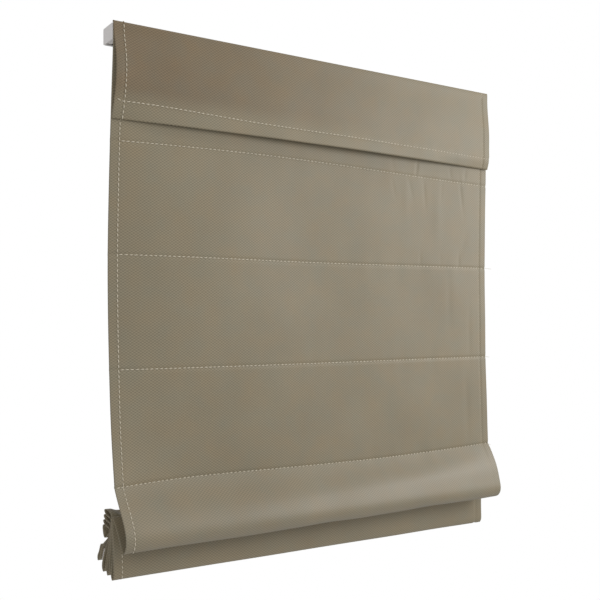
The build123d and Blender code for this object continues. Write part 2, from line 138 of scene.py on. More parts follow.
def ramp(value: Array, start: float, end: float) -> Array:
    """Smooth step from 0 at start to 1 at end: three t squared minus two t cubed."""
    t = np.clip((value - start) / (end - start), 0, 1)
    return t * t * (3 - 2 * t)


def window(value: Array, rise: Pair, fall: Pair) -> Array:
    """Smooth step up over one range times a smooth step down over another."""
    return ramp(value, *rise) * (1 - ramp(value, *fall))


def sunk(x: Array, lift: float, sink: float) -> Array:
    """Heights of a row of stitches over the cloth, which it sinks into towards the right."""
    return lift - sink * ramp(x, *STITCH_FADE)


def length_along(points: Array) -> Array:
    """Length from the first point of a line to each of its points."""
    return np.concatenate([[0], np.cumsum(np.linalg.norm(np.diff(points, axis=0), axis=1))])


@dataclass(frozen=True)
class Waves:
    """Soft unevenness: a sum of seeded cosines in many directions, lower where they are shorter."""

    height: float
    count: int
    longest: float
    seed: int
    shortest_share: float = 0.35

    def over(self, x: Array, s: Array) -> Array:
        """Heights of the waves.

        Args:
            x: Place across in millimetres.
            s: Place along the cloth in millimetres.

        Returns:
            Array of heights in millimetres, about from minus to plus the waves' height.
        """
        draw = np.random.default_rng(self.seed)
        length = self.longest * draw.uniform(self.shortest_share, 1.0, self.count)
        turn = draw.uniform(0, math.pi, self.count)
        phase = draw.uniform(0, 2 * math.pi, self.count)
        along = x[..., None] * np.cos(turn) + s[..., None] * np.sin(turn)
        wave = np.cos(2 * math.pi * along / length + phase) * (length / self.longest)
        return self.height * (wave.sum(-1) / math.sqrt(self.count))


def cloth_columns(fine: float = 2.0, coarse: float = 5.5, edge: float = 34.0,
                  creased: float | None = None) -> Array:
    """Places across the cloth: close together near both edges and wider apart between them.

    Args:
        fine: Distance between places near an edge in millimetres.
        coarse: Distance between the other places in millimetres.
        edge: How far the close places reach from an edge in millimetres.
        creased: Place from which the others also lie close, for creases at the right, or None.

    Returns:
        Rising places in millimetres.
    """
    inner = HALF_WIDTH - edge
    stop = inner if creased is None else creased
    sides = np.arange(0, edge, fine)
    parts = [sides - HALF_WIDTH, np.linspace(-inner, stop, int((inner + stop) / coarse) + 1)]
    if creased is not None:
        close = 1.4 * fine
        parts.append(np.linspace(creased, inner, int((inner - creased) / close) + 1)[1:])
    return np.concatenate(parts + [HALF_WIDTH - sides[::-1]])


@dataclass
class Surface:
    """Grid of points of a cloth, rows down it and columns across it."""

    points: Array
    across: Array
    along: Array

    def normals(self) -> Array:
        """Unit normals on the front: the cross product of the steps down and across.

        Returns:
            One normal for each point.
        """
        down = np.gradient(self.points, axis=0)
        side = np.gradient(self.points, axis=1)
        normal = np.cross(down, side)
        return normal / np.linalg.norm(normal, axis=-1, keepdims=True)

    def raised(self, height: Array) -> "Surface":
        """The same grid moved along its front normals by a height in millimetres."""
        return Surface(self.points + self.normals() * (height * MM)[..., None], self.across, self.along)

    def behind(self) -> "Surface":
        """The same grid a layer of cloth further back."""
        return self.raised(np.full(self.across.shape, -LAYER_GAP))

    def rows(self, first: int, last: int) -> "Surface":
        """Part of the grid between two rows, both kept."""
        keep = slice(first, last + 1)
        return Surface(self.points[keep], self.across[keep], self.along[keep])

    def line_across(self, along: Array, lift: Array | float) -> Two:
        """Points and normals on a line across the cloth.

        Args:
            along: Place along the cloth for each column, in millimetres.
            lift: Height above the cloth in millimetres, one for all columns or one for each.

        Returns:
            Points and normals, one for each column.
        """
        index = np.array([np.interp(a, s, np.arange(len(s))) for a, s in zip(along, self.along.T)])
        column = np.arange(self.points.shape[1])
        return self._read(index, column.astype(float), lift)

    def line_down(self, x: float, lift: float) -> Two:
        """Points and normals on a line down the cloth.

        Args:
            x: Place across in millimetres.
            lift: Height above the cloth in millimetres.

        Returns:
            Points and normals, one for each row.
        """
        row = np.arange(self.points.shape[0]).astype(float)
        column = np.full(len(row), np.interp(x, self.across[0], np.arange(self.across.shape[1])))
        return self._read(row, column, lift)

    def _read(self, row: Array, column: Array, lift: Array | float) -> Two:
        """Points and normals at fractional rows and columns, mixed from the four beside each.

        Args:
            row: Row of each place.
            column: Column of each place.
            lift: Height above the cloth in millimetres, one for all places or one for each.

        Returns:
            Points and normals, one for each place.
        """
        r = np.clip(np.floor(row).astype(int), 0, self.points.shape[0] - 2)
        c = np.clip(np.floor(column).astype(int), 0, self.points.shape[1] - 2)
        a, b = (row - r)[:, None], (column - c)[:, None]

        def mix(values: Array) -> Array:
            """Values at the places.

            Args:
                values: Values on the grid.

            Returns:
                One value for each place.
            """
            upper = values[r, c] * (1 - b) + values[r, c + 1] * b
            lower = values[r + 1, c] * (1 - b) + values[r + 1, c + 1] * b
            return upper * (1 - a) + lower * a

        normal = mix(self.normals())
        normal /= np.linalg.norm(normal, axis=-1, keepdims=True)
        return mix(self.points) + normal * np.asarray(lift)[..., None] * MM, normal


@dataclass
class ClothLine:
    """Cloth whose outline is given at a few stations across, as depth and drop pairs."""

    stations: tuple[float, ...]
    outlines: tuple[Outline, ...]

    @classmethod
    def between(cls, outline: Array, ends: Two) -> "ClothLine":
        """Cloth with one outline, moved to the depth and drop of a seam at each edge."""
        return cls(EDGES, tuple(tuple(map(tuple, outline + end)) for end in ends))

    def surface(self, columns: Array, spacing: float, marks: tuple[int, ...] = (),
                fine: float = 1.3, reach: float = 9.0) -> Surface:
        """Spline surface: outlines are mixed across by one spline and followed down by another.

        Args:
            columns: Places across in millimetres.
            spacing: Distance between rows down the cloth in millimetres.
            marks: Numbers of the outline points that rows lie close together at.
            fine: Distance between those close rows in millimetres.
            reach: How far the close rows reach each side in millimetres.

        Returns:
            The surface, with its length along the cloth at every point.
        """
        control = np.array(self.outlines)
        chord = np.linalg.norm(np.diff(control, axis=1), axis=-1).mean(0)
        knots = np.concatenate([[0], np.cumsum(chord)])
        plain = np.linspace(0, knots[-1], int(knots[-1] / spacing) + 2)
        close = (knots[list(marks)][:, None] + np.arange(-reach, reach + fine / 2, fine)).ravel()
        far_off = np.abs(plain[:, None] - knots[list(marks)]).min(1, initial=np.inf) > reach + fine / 2
        samples = np.concatenate([plain[far_off], close, [0, knots[-1]]])
        samples = np.unique(samples[(samples >= 0) & (samples <= knots[-1])].round(4))
        down = spline_weights(knots, samples)
        if len(self.stations) > 2:
            side = spline_weights(np.array(self.stations), columns)
        else:
            share = (columns - self.stations[0]) / (self.stations[1] - self.stations[0])
            side = np.stack([1 - share, share], axis=-1)
        place = np.einsum("vc,us,scd->vud", down, side, control)
        points = spot(columns[None, :], place[..., 0], place[..., 1])
        step = np.linalg.norm(np.diff(points, axis=0), axis=-1) / MM
        along = np.concatenate([np.zeros((1, len(columns))), np.cumsum(step, axis=0)])
        return Surface(points, np.broadcast_to(columns, along.shape), along)


def mesh_object(name: str, points: Array, faces: list[list[int]], uv: Array | None,
                material: Material) -> Object:
    """Smooth mesh object at the origin.

    Args:
        name: Name of the piece.
        points: Vertices in metres.
        faces: Corner numbers of each face.
        uv: Coordinates on the cloth for each vertex in metres, or None.
        material: Finish of the piece.

    Returns:
        The new object.
    """
    mesh = bpy.data.meshes.new(name)
    mesh.from_pydata(points.tolist(), [], faces)
    mesh.polygons.foreach_set("use_smooth", np.ones(len(faces), dtype=bool))
    if uv is not None:
        layer = mesh.uv_layers.new(name="cloth")
        corners = np.array([corner for face in faces for corner in face])
        layer.data.foreach_set("uv", uv[corners].astype(np.float32).ravel())
    mesh.materials.append(material)
    mesh.update()
    piece = bpy.data.objects.new(name, mesh)
    bpy.context.scene.collection.objects.link(piece)
    return piece


def grid_faces(index: Array) -> list[list[int]]:
    """Faces between neighbours in a grid of point numbers, turned so that a cloth faces forward."""
    corners = [index[:-1, :-1], index[1:, :-1], index[1:, 1:], index[:-1, 1:]]
    return np.stack(corners, axis=-1).reshape(-1, 4).tolist()


def tube_faces(rings: int, sides: int, copies: int = 1) -> list[list[int]]:
    """Faces of tubes closed at both ends: quads between rings and one flat face on each end.

    Args:
        rings: Rings of points along a tube.
        sides: Points in a ring, turning to the right as seen along the tube.
        copies: How many tubes follow each other in the list of points.

    Returns:
        Corner numbers of each face.
    """
    faces = []
    for index in np.arange(copies * rings * sides).reshape(copies, rings, sides):
        faces += grid_faces(np.concatenate([index, index[:, :1]], axis=1))
        faces += [index[0].tolist(), index[-1, ::-1].tolist()]
    return faces


def cloth_object(name: str, surface: Surface, material: Material,
                 start: float = 0.0) -> Object:
    """Cloth of real thickness over a surface, with coordinates that run across and along it.

    Args:
        name: Name of the piece.
        surface: Front face of the cloth.
        material: Finish of the cloth.
        start: Length along the whole cloth at the surface's first row, in millimetres.

    Returns:
        The new object.
    """
    rows, columns = surface.across.shape
    uv = np.stack([surface.across, surface.along + start], axis=-1).reshape(-1, 2) * MM
    faces = grid_faces(np.arange(rows * columns).reshape(rows, columns))
    piece = mesh_object(name, surface.points.reshape(-1, 3), faces, uv, material)
    wall = piece.modifiers.new("cloth_thickness", "SOLIDIFY")
    wall.thickness = CLOTH * MM
    wall.offset = -1.0
    return piece


@dataclass
class Stitch:
    """Row of thread stitches: each one a short thread that dips into the cloth at both ends."""

    pitch: float = 7.8
    length: float = 6.0
    radius: float = 0.86
    slant: float = 0.10
    slant_spread: float = 0.03
    size_spread: Pair = (0.9, 1.08)
    jitter: float = 0.06
    tip: float = 0.97
    bluntness: float = 0.7
    crest: float = 0.25
    rings: int = 5
    sides: int = 6

    def row(self, name: str, line: Array, normal: Array, material: Material,
            seed: int) -> Object:
        """Stitches along a line on the cloth.

        A stitch is an ellipsoid of revolution about the line's direction, sampled at a few
        rings, and every stitch is the same rings in its own frame.

        Args:
            name: Name of the piece.
            line: Points of the line.
            normal: Cloth normals at those points.
            material: Finish of the thread.
            seed: Seed of the small differences between stitches.

        Returns:
            The new object.
        """
        travel = length_along(line)
        count = max(int(travel[-1] / (self.pitch * MM)), 1)
        draw = np.random.default_rng(seed)
        centre_at = (np.arange(count) + 0.5) * travel[-1] / count
        centre_at = centre_at + draw.uniform(-self.jitter, self.jitter, count) * self.pitch * MM
        reach = self.length * MM / 2
        centre = self._follow(centre_at, travel, line)
        ahead = self._follow(centre_at + reach, travel, line) - self._follow(centre_at - reach, travel, line)
        tangent = ahead / np.linalg.norm(ahead, axis=1, keepdims=True)
        up = self._follow(centre_at, travel, normal)
        side = np.cross(up, tangent)
        side /= np.linalg.norm(side, axis=1, keepdims=True)
        tangent = tangent + side * (self.slant + draw.normal(0, self.slant_spread, count))[:, None]
        size = (reach * draw.uniform(*self.size_spread, count))[:, None, None]
        t = np.linspace(-self.tip, self.tip, self.rings)
        turn = -np.arange(self.sides) * 2 * math.pi / self.sides
        girth = np.sqrt(1 - t**2) ** self.bluntness * self.radius * MM
        rise = (self.crest - t**2) * self.radius * MM
        height = rise[:, None] + girth[:, None] * np.sin(turn)
        wide = girth[:, None] * np.cos(turn)
        run = np.broadcast_to(t[:, None], height.shape)
        shape = [part.reshape(1, -1, 1) for part in (run, height, wide)]
        points = (centre[:, None, :] + tangent[:, None, :] * shape[0] * size
                  + up[:, None, :] * shape[1] + side[:, None, :] * shape[2])
        faces = tube_faces(self.rings, self.sides, count)
        return mesh_object(name, points.reshape(-1, 3), faces, None, material)

    @staticmethod
    def _follow(place: Array, travel: Array, values: Array) -> Array:
        """Values read along a line at given lengths."""
        return np.stack([np.interp(place, travel, column) for column in values.T], axis=-1)


def tube_object(name: str, path: Array, radius: float, material: Material,
                sides: int = 8) -> Object:
    """Round tube along a path that runs mostly down, with coordinates round and along it.

    Each ring is a circle square to the path: the first radius lies square to the path and to
    the depth direction, and the second square to both.

    Args:
        name: Name of the piece.
        path: Points of the centre line in metres.
        radius: Radius in millimetres.
        material: Finish of the tube.
        sides: Corners of each ring.

    Returns:
        The new object.
    """
    tangent = np.gradient(path, axis=0)
    tangent /= np.linalg.norm(tangent, axis=1, keepdims=True)
    first = np.cross(tangent, np.array([0.0, 1.0, 0.0]))
    first /= np.linalg.norm(first, axis=1, keepdims=True)
    second = np.cross(tangent, first)
    turn = -np.arange(sides) * 2 * math.pi / sides
    ring = first[:, None, :] * np.cos(turn)[:, None] + second[:, None, :] * np.sin(turn)[:, None]
    points = path[:, None, :] + ring * radius * MM
    round_it = turn[None, :] * radius * MM
    uv = np.stack(np.broadcast_arrays(round_it, length_along(path)[:, None]), axis=-1)
    return mesh_object(name, points.reshape(-1, 3), tube_faces(len(path), sides), uv.reshape(-1, 2), material)


def new_group(name: str, inputs: dict[str, tuple[str, object]],
              outputs: dict[str, str]) -> NodeTree:
    """Empty shader node group with named sockets.

    Args:
        name: Name of the group.
        inputs: Socket type and default by name. A default of None is left as it comes.
        outputs: Socket type by name.

    Returns:
        The node tree, with its input and output nodes in it.
    """
    tree = bpy.data.node_groups.new(name, "ShaderNodeTree")
    for label, (kind, value) in inputs.items():
        socket = tree.interface.new_socket(label, in_out="INPUT", socket_type=kind)
        if value is not None:
            socket.default_value = value
    for label, kind in outputs.items():
        tree.interface.new_socket(label, in_out="OUTPUT", socket_type=kind)
    tree.nodes.new("NodeGroupInput").name = "in"
    tree.nodes.new("NodeGroupOutput").name = "out"
    return tree


class Wiring:
    """Short way to place and join nodes in a tree."""

    def __init__(self, tree: NodeTree) -> None:
        """Keeps the tree that nodes go into."""
        self.tree = tree

    def node(self, kind: str, **settings: object) -> Node:
        """New node.

        Args:
            kind: Type of the node.
            settings: Its settings by name.

        Returns:
            The node.
        """
        node = self.tree.nodes.new(kind)
        for label, value in settings.items():
            setattr(node, label, value)
        return node

    def feed(self, socket: NodeSocket, value: object) -> None:
        """Links a socket to an output, or sets it to a constant.

        Args:
            socket: Input to feed.
            value: Output or constant.
        """
        if isinstance(value, NodeSocket):
            self.tree.links.new(value, socket)
        else:
            socket.default_value = value

    def fill(self, node: Node, values: dict[str | int, object]) -> Node:
        """Feeds a node's inputs, which are given by name or number.

        Args:
            node: Node to feed.
            values: Output or constant for each input.

        Returns:
            The same node.
        """
        for label, value in values.items():
            self.feed(node.inputs[label], value)
        return node

    def math(self, operation: str, *values: object) -> NodeSocket:
        """Result of a math node on outputs or numbers."""
        node = self.node("ShaderNodeMath", operation=operation)
        return self.fill(node, dict(enumerate(values))).outputs[0]

    def mix(self, share: object, first: object, second: object) -> NodeSocket:
        """Colour between two colours, by the sockets that a mix of colours uses."""
        node = self.node("ShaderNodeMix", data_type="RGBA")
        return self.fill(node, {0: share, 6: first, 7: second}).outputs[2]

    def noise(self, vector: object, scale: float, detail: float) -> NodeSocket:
        """Value of a noise texture."""
        node = self.node("ShaderNodeTexNoise")
        return self.fill(node, {"Vector": vector, "Scale": scale, "Detail": detail}).outputs["Fac"]

    def wave(self, place: object, length: object) -> NodeSocket:
        """Cosine along one direction, with a given wavelength."""
        share = self.math("DIVIDE", place, length)
        return self.math("COSINE", self.math("MULTIPLY", share, 2 * math.pi))

    def smooth(self, value: object, ends: Pair) -> NodeSocket:
        """Smooth step from 0 at the first end to 1 at the second."""
        node = self.node("ShaderNodeMapRange", interpolation_type="SMOOTHSTEP")
        return self.fill(node, {"Value": value, "From Min": ends[0], "From Max": ends[1]}).outputs["Result"]

    def around(self, noise: object, amount: object, middle: object) -> NodeSocket:
        """Middle value plus an amount times how far a noise is from one half."""
        return self.math("MULTIPLY_ADD", self.math("SUBTRACT", noise, 0.5), amount, middle)


COLOUR, NUMBER, VECTOR = "NodeSocketColor", "NodeSocketFloat", "NodeSocketVector"
SURFACE_SOCKETS = {"Color": COLOUR, "Height": NUMBER, "Roughness": NUMBER}


class Effect(Enum):
    """Node groups that a finish can use, by name."""

    WEAVE = "diamond_weave"
    GRAIN = "moulded_grain"
    DRAWN = "drawn_lines"


class Effects:
    """Node groups that several finishes share."""

    YARN_SCALE, YARN_SHARE = 900.0, 0.25
    CLOUD_SCALE, HUE_SCALE, HUE_SHARE = 9.0, 23.0, 0.9
    # Painted shade: where it darkens the weave across and along the cloth, and how much more it takes from
    # green and blue.
    DEEP_ACROSS, DEEP_ALONG = (0.35, -0.40), (0.14, 0.10)
    DEEP_GREEN, DEEP_BLUE = -0.30, -0.55
    CROWN_GLOSS = -0.12
    GRAIN_FINE, GRAIN_BROAD, GRAIN_GLOSS = 2400.0, 60.0, 0.2
    LINE_STRETCH, LINE_GLOSS = (6.0, 1800.0, 1800.0), 0.25

    def __init__(self) -> None:
        """Builds each group once."""
        self.groups = {Effect.WEAVE: self._weave(), Effect.GRAIN: self._grain(), Effect.DRAWN: self._drawn()}

    @staticmethod
    def _close(wire: Wiring, *values: NodeSocket) -> NodeTree:
        """Feeds a group's colour, height and roughness outputs and gives back its tree."""
        wire.fill(wire.tree.nodes["out"], dict(zip(SURFACE_SOCKETS, values)))
        return wire.tree

    @staticmethod
    def _solid(effect: Effect, shade: float, deep: float, rough: float) -> NodeTree:
        """Empty group for solid pieces.

        Args:
            effect: Effect that the group is for.
            shade: Grey that stands in for the main colour.
            deep: Grey that stands in for the darker colour.
            rough: Roughness.

        Returns:
            The node tree.
        """
        colours = {"Shade": (COLOUR, (shade, shade, shade, 1)), "Deep": (COLOUR, (deep, deep, deep, 1))}
        inputs = {"Place": (VECTOR, None), **colours, "Rough": (NUMBER, rough)}
        return new_group(effect.value, inputs, SURFACE_SOCKETS)

    def _weave(self) -> NodeTree:
        """Diamond twill: the product of a cosine across and a cosine along, with yarns and clouds.

        A painted shade can darken it and turn it brown towards the left of the cloth's first stretch, for
        shade that the lamps don't give there.

        Returns:
            The node tree.
        """
        tree = new_group(
            Effect.WEAVE.value,
            {"Place": (VECTOR, None), "Hollow": (COLOUR, (0.2, 0.2, 0.2, 1)),
             "Crown": (COLOUR, (0.3, 0.3, 0.3, 1)), "Across": (NUMBER, 0.0065), "Along": (NUMBER, 0.00445),
             "Clouds": (NUMBER, 0.06), "Rough": (NUMBER, 0.85), "Deepen": (NUMBER, 0.0)},
            SURFACE_SOCKETS,
        )
        wire = Wiring(tree)
        given = tree.nodes["in"].outputs
        place, clouds = given["Place"], given["Clouds"]
        parts = wire.node("ShaderNodeSeparateXYZ")
        wire.feed(parts.inputs[0], place)
        x, s = parts.outputs[0], parts.outputs[1]
        crossing = wire.math("MULTIPLY", wire.wave(x, given["Across"]), wire.wave(s, given["Along"]))
        diamond = wire.math("MULTIPLY_ADD", crossing, 0.5, 0.5)
        yarn = wire.noise(place, self.YARN_SCALE, 1.0)
        height = wire.math("MULTIPLY_ADD", yarn, self.YARN_SHARE,
                           wire.math("MULTIPLY", diamond, 1 - self.YARN_SHARE))
        woven = wire.mix(height, given["Hollow"], given["Crown"])
        # Painted shade: a mask that is 1 at the left of the first stretch, which darkens the colour and takes
        # more from green and blue.
        corner = wire.math("MULTIPLY", wire.smooth(x, self.DEEP_ACROSS), wire.smooth(s, self.DEEP_ALONG))
        deep = wire.math("MULTIPLY", corner, given["Deepen"])
        cloudy = wire.around(wire.noise(place, self.CLOUD_SCALE, 3.0), clouds, 1.0)
        level = wire.math("SUBTRACT", cloudy, deep)
        hue = wire.around(wire.noise(place, self.HUE_SCALE, 4.0), clouds, 0.0)
        blue = wire.math("MULTIPLY_ADD", deep, self.DEEP_BLUE, level)
        tint = wire.fill(wire.node("ShaderNodeCombineXYZ"), {
            0: wire.math("MULTIPLY_ADD", hue, self.HUE_SHARE, level),
            1: wire.math("MULTIPLY_ADD", deep, self.DEEP_GREEN, level),
            2: wire.math("MULTIPLY_ADD", hue, -self.HUE_SHARE, blue),
        })
        shade = wire.node("ShaderNodeVectorMath", operation="MULTIPLY")
        wire.fill(shade, {0: woven, 1: tint.outputs[0]})
        rough = wire.around(height, self.CROWN_GLOSS, given["Rough"])
        return self._close(wire, shade.outputs[0], height, rough)

    def _grain(self) -> NodeTree:
        """Moulded grain: fine noise for the surface, and broad noise for the shade and the gloss.

        Returns:
            The node tree.
        """
        wire = Wiring(self._solid(Effect.GRAIN, 0.5, 0.4, 0.5))
        given = wire.tree.nodes["in"].outputs
        fine = wire.noise(given["Place"], self.GRAIN_FINE, 2.0)
        broad = wire.noise(given["Place"], self.GRAIN_BROAD, 3.0)
        shade = wire.mix(broad, given["Deep"], given["Shade"])
        return self._close(wire, shade, fine, wire.around(broad, self.GRAIN_GLOSS, given["Rough"]))

    def _drawn(self) -> NodeTree:
        """Drawn metal: noise stretched along X gives lines in the shade, gloss and surface.

        Returns:
            The node tree.
        """
        wire = Wiring(self._solid(Effect.DRAWN, 0.6, 0.5, 0.35))
        given = wire.tree.nodes["in"].outputs
        stretch = wire.node("ShaderNodeMapping")
        wire.fill(stretch, {"Vector": given["Place"], "Scale": self.LINE_STRETCH})
        lines = wire.noise(stretch.outputs[0], 1.0, 3.0)
        shade = wire.mix(lines, given["Deep"], given["Shade"])
        return self._close(wire, shade, lines, wire.around(lines, self.LINE_GLOSS, given["Rough"]))


class Place(Enum):
    """Coordinates that a finish reads."""

    CLOTH = "UV"
    SOLID = "Object"


@dataclass(frozen=True)
class Finish:
    """One material: a group of shared effects in front of one shader."""

    name: str
    slot: str
    effect: Effect
    light: Triple
    dark: Triple
    place: Place = Place.SOLID
    rough: float = 0.5
    metal: float = 0.0
    bump: float = 0.3
    bump_depth: float = 0.0002
    sheen: float = 0.0
    across: float = 0.0065
    along: float = 0.00445
    clouds: float = 0.06
    # Strength of the painted shade at the left of the cloth's first stretch.
    deepen: float = 0.0
    specular: float = 0.5

    def make(self, effects: Effects) -> Material:
        """Material with this finish.

        Args:
            effects: Shared node groups.

        Returns:
            The new material.
        """
        material = bpy.data.materials.new(self.name)
        material.use_nodes = True
        wire = Wiring(material.node_tree)
        shader = material.node_tree.nodes["Principled BSDF"]
        where = wire.node("ShaderNodeTexCoord")
        group = wire.node("ShaderNodeGroup", node_tree=effects.groups[self.effect])
        values = {"Place": where.outputs[self.place.value], "Rough": self.rough}
        light, dark = (*self.light, 1), (*self.dark, 1)
        if self.effect is Effect.WEAVE:
            values |= {"Hollow": dark, "Crown": light, "Across": self.across, "Along": self.along,
                       "Clouds": self.clouds, "Deepen": self.deepen}
        else:
            values |= {"Deep": dark, "Shade": light}
        made = wire.fill(group, values).outputs
        bump = wire.node("ShaderNodeBump")
        wire.fill(bump, {"Strength": self.bump, "Distance": self.bump_depth, "Height": made["Height"]})
        wire.fill(shader, {
            "Base Color": made["Color"], "Roughness": made["Roughness"], "Normal": bump.outputs[0],
            "Metallic": self.metal, "Specular IOR Level": self.specular, "Sheen Weight": self.sheen,
        })
        return material


class Finishes:
    """Every material of the blind."""

    TWILL = Finish("taupe_twill", "twill", Effect.WEAVE, (0.337, 0.284, 0.189), (0.163, 0.138, 0.090),
                   Place.CLOTH, rough=0.53, bump=0.25, bump_depth=0.0003, clouds=0.2, specular=0.45)
    # Valance twill with a painted shade that darkens and browns its top left.
    VALANCE = replace(TWILL, name="valance_twill", deepen=0.28)
    # Slightly darker copy of the same twill for the fold. The darker colour is a painted shade, and the
    # fold's highlight comes from stronger gloss.
    ROLL = replace(TWILL, name="fold_twill", light=(0.323, 0.272, 0.180), dark=(0.156, 0.132, 0.086),
                   specular=0.7)
    THREAD = Finish("beige_thread", "twill", Effect.GRAIN, (0.66, 0.60, 0.48), (0.54, 0.48, 0.37), rough=0.8)
    RAIL = Finish("satin_rail", "rail", Effect.DRAWN, (0.66, 0.65, 0.64), (0.56, 0.55, 0.54),
                  rough=0.38, metal=0.6)
    CAP = Finish("grey_cap", "cap", Effect.GRAIN, (0.87, 0.84, 0.825), (0.81, 0.78, 0.765), rough=0.55)
    BRACKET = Finish("zinc_bracket", "bracket", Effect.DRAWN, (0.66, 0.66, 0.66), (0.50, 0.50, 0.51),
                     rough=0.4, metal=0.9)
    TAPE = Finish("woven_tape", "tape", Effect.WEAVE, (0.74, 0.73, 0.70), (0.55, 0.54, 0.52),
                  across=0.0012, along=0.0012, rough=0.85, clouds=0.08, sheen=0.2)
    ROD = Finish("glass_fibre_rod", "rod", Effect.DRAWN, (0.80, 0.78, 0.72), (0.70, 0.68, 0.62), rough=0.35)
    RING = Finish("clear_ring", "ring", Effect.GRAIN, (0.80, 0.80, 0.78), (0.72, 0.72, 0.70), rough=0.25)
    CORD = Finish("braided_cord", "cord", Effect.WEAVE, (0.80, 0.77, 0.70), (0.52, 0.49, 0.43),
                  Place.CLOTH, across=0.0009, along=0.0016, rough=0.8, bump=0.5)
    WOUND = replace(CORD, name="wound_cord", place=Place.SOLID, across=0.0012, along=0.0040)
    DRIVE = Finish("drive_plastic", "drive_plastic", Effect.GRAIN, (0.74, 0.74, 0.73), (0.68, 0.68, 0.67),
                   rough=0.45)
    SHAFT = Finish("drawn_shaft", "shaft", Effect.DRAWN, (0.64, 0.64, 0.64), (0.48, 0.48, 0.48),
                   rough=0.35, metal=1.0)
    BAR = Finish("mill_bar", "bar", Effect.DRAWN, (0.70, 0.70, 0.69), (0.58, 0.58, 0.57),
                 rough=0.42, metal=0.8)
    ALL = (TWILL, VALANCE, ROLL, THREAD, RAIL, CAP, BRACKET, TAPE, ROD, RING, WOUND, CORD, DRIVE, SHAFT, BAR)

    def __init__(self) -> None:
        """Makes the shared effects and one material for each finish."""
        effects = Effects()
        self.made = {finish.name: finish.make(effects) for finish in self.ALL}

    def of(self, finish: Finish) -> Material:
        """Material of a finish."""
        return self.made[finish.name]

    def for_slot(self, slot: str) -> Material:
        """Material of the first finish that serves a slot of the record."""
        return next(self.made[finish.name] for finish in self.ALL if finish.slot == slot)


@dataclass
class Stack:
    """Where the seams hang: four on the fixed panel and four raised behind it."""

    fixed_left: Outline = ((10.7, 178.9), (16.6, 354.1), (12.7, 533.0), (4.6, 721.1))
    fixed_right: Outline = ((5.6, 185.4), (6.5, 356.9), (4.6, 538.9), (2.6, 718.9))
    raised_first: Pair = (8.6, 757.1)
    raised_step: Pair = (2.2, 8.0)
    skew: Pair = (6.0, 30.0)
    lean_range: Pair = (6.0, 60.0)

    def fixed(self, number: int) -> Two:
        """Ends of a fixed seam as depth and drop, left then right."""
        return np.array(self.fixed_left[number]), np.array(self.fixed_right[number])

    def raised(self, number: int) -> Two:
        """Ends of a raised seam as depth and drop, left then right."""
        left = np.array(self.raised_first) + number * np.array(self.raised_step)
        return left, left + np.array(self.skew)

    def level(self, drop_left: float) -> Array:
        """Point at mid width whose skewed line passes a drop at the left edge, in metres."""
        return spot(np.array(0.0), np.array(0.0), np.array(drop_left + self.skew[1] / 2))

    def lean(self, surface: Surface, drop: float, ends: Pair) -> None:
        """Leans a hanging cloth backwards by a depth that grows with its drop below a seam.

        Args:
            surface: Cloth to move.
            drop: Drop of its seam at the left edge, in millimetres.
            ends: Depth to lean at the left and right edges, in millimetres.
        """
        share = (surface.across + HALF_WIDTH) / (2 * HALF_WIDTH)
        below = TOP_Z - surface.points[..., 2] / MM - drop - self.skew[1] * share
        depth = (ends[0] + (ends[1] - ends[0]) * share) * ramp(below, *self.lean_range)
        surface.points[..., 1] += depth * MM

    def rise(self) -> Array:
        """Direction square to the skewed seams, upwards."""
        way = np.array([self.skew[1] / (2 * HALF_WIDTH), 0.0, 1.0])
        return way / np.linalg.norm(way)


STACK = Stack()


class Dresser:
    """Adds finished pieces to the scene and reports those that ride on a body."""

    def __init__(self, finishes: Finishes) -> None:
        """Keeps the materials that pieces are made with.

        Args:
            finishes: Materials of the blind.
        """
        self.finishes = finishes
        self.stitch = Stitch()
        self.seed = 100

    def cloth(self, name: str, surface: Surface, start: float = 0.0,
              finish: Finish = Finishes.TWILL) -> Object:
        """New piece of the blind's cloth.

        Args:
            name: Name of the piece.
            surface: Front face of the cloth.
            start: Length along the whole cloth at the surface's first row, in millimetres.
            finish: Finish of the cloth.

        Returns:
            The new object.
        """
        piece = cloth_object(name, surface, self.finishes.of(finish), start)
        return piece

    def ride(self, piece: Object, body: Body) -> None:
        """Makes a piece move with a body and reports it."""
        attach(piece, body.value)
        LOG.info("%s rides on %s", piece.name, body.value)

    def stitches(self, name: str, line: Two, body: Body) -> Object:
        """Row of stitches on the cloth.

        Args:
            name: Name of the piece.
            line: Points of the line that they follow, and the cloth's normals there.
            body: Body that they ride on.

        Returns:
            The new object.
        """
        self.seed += 1
        piece = self.stitch.row(name, *line, self.finishes.of(Finishes.THREAD), self.seed)
        self.ride(piece, body)
        return piece


def part_of_line(line: Two, x_from: float, x_to: float) -> Two:
    """Part of a line of points and normals between two places across, in millimetres."""
    keep = (line[0][:, 0] >= x_from * MM) & (line[0][:, 0] <= x_to * MM)
    return line[0][keep], line[1][keep]


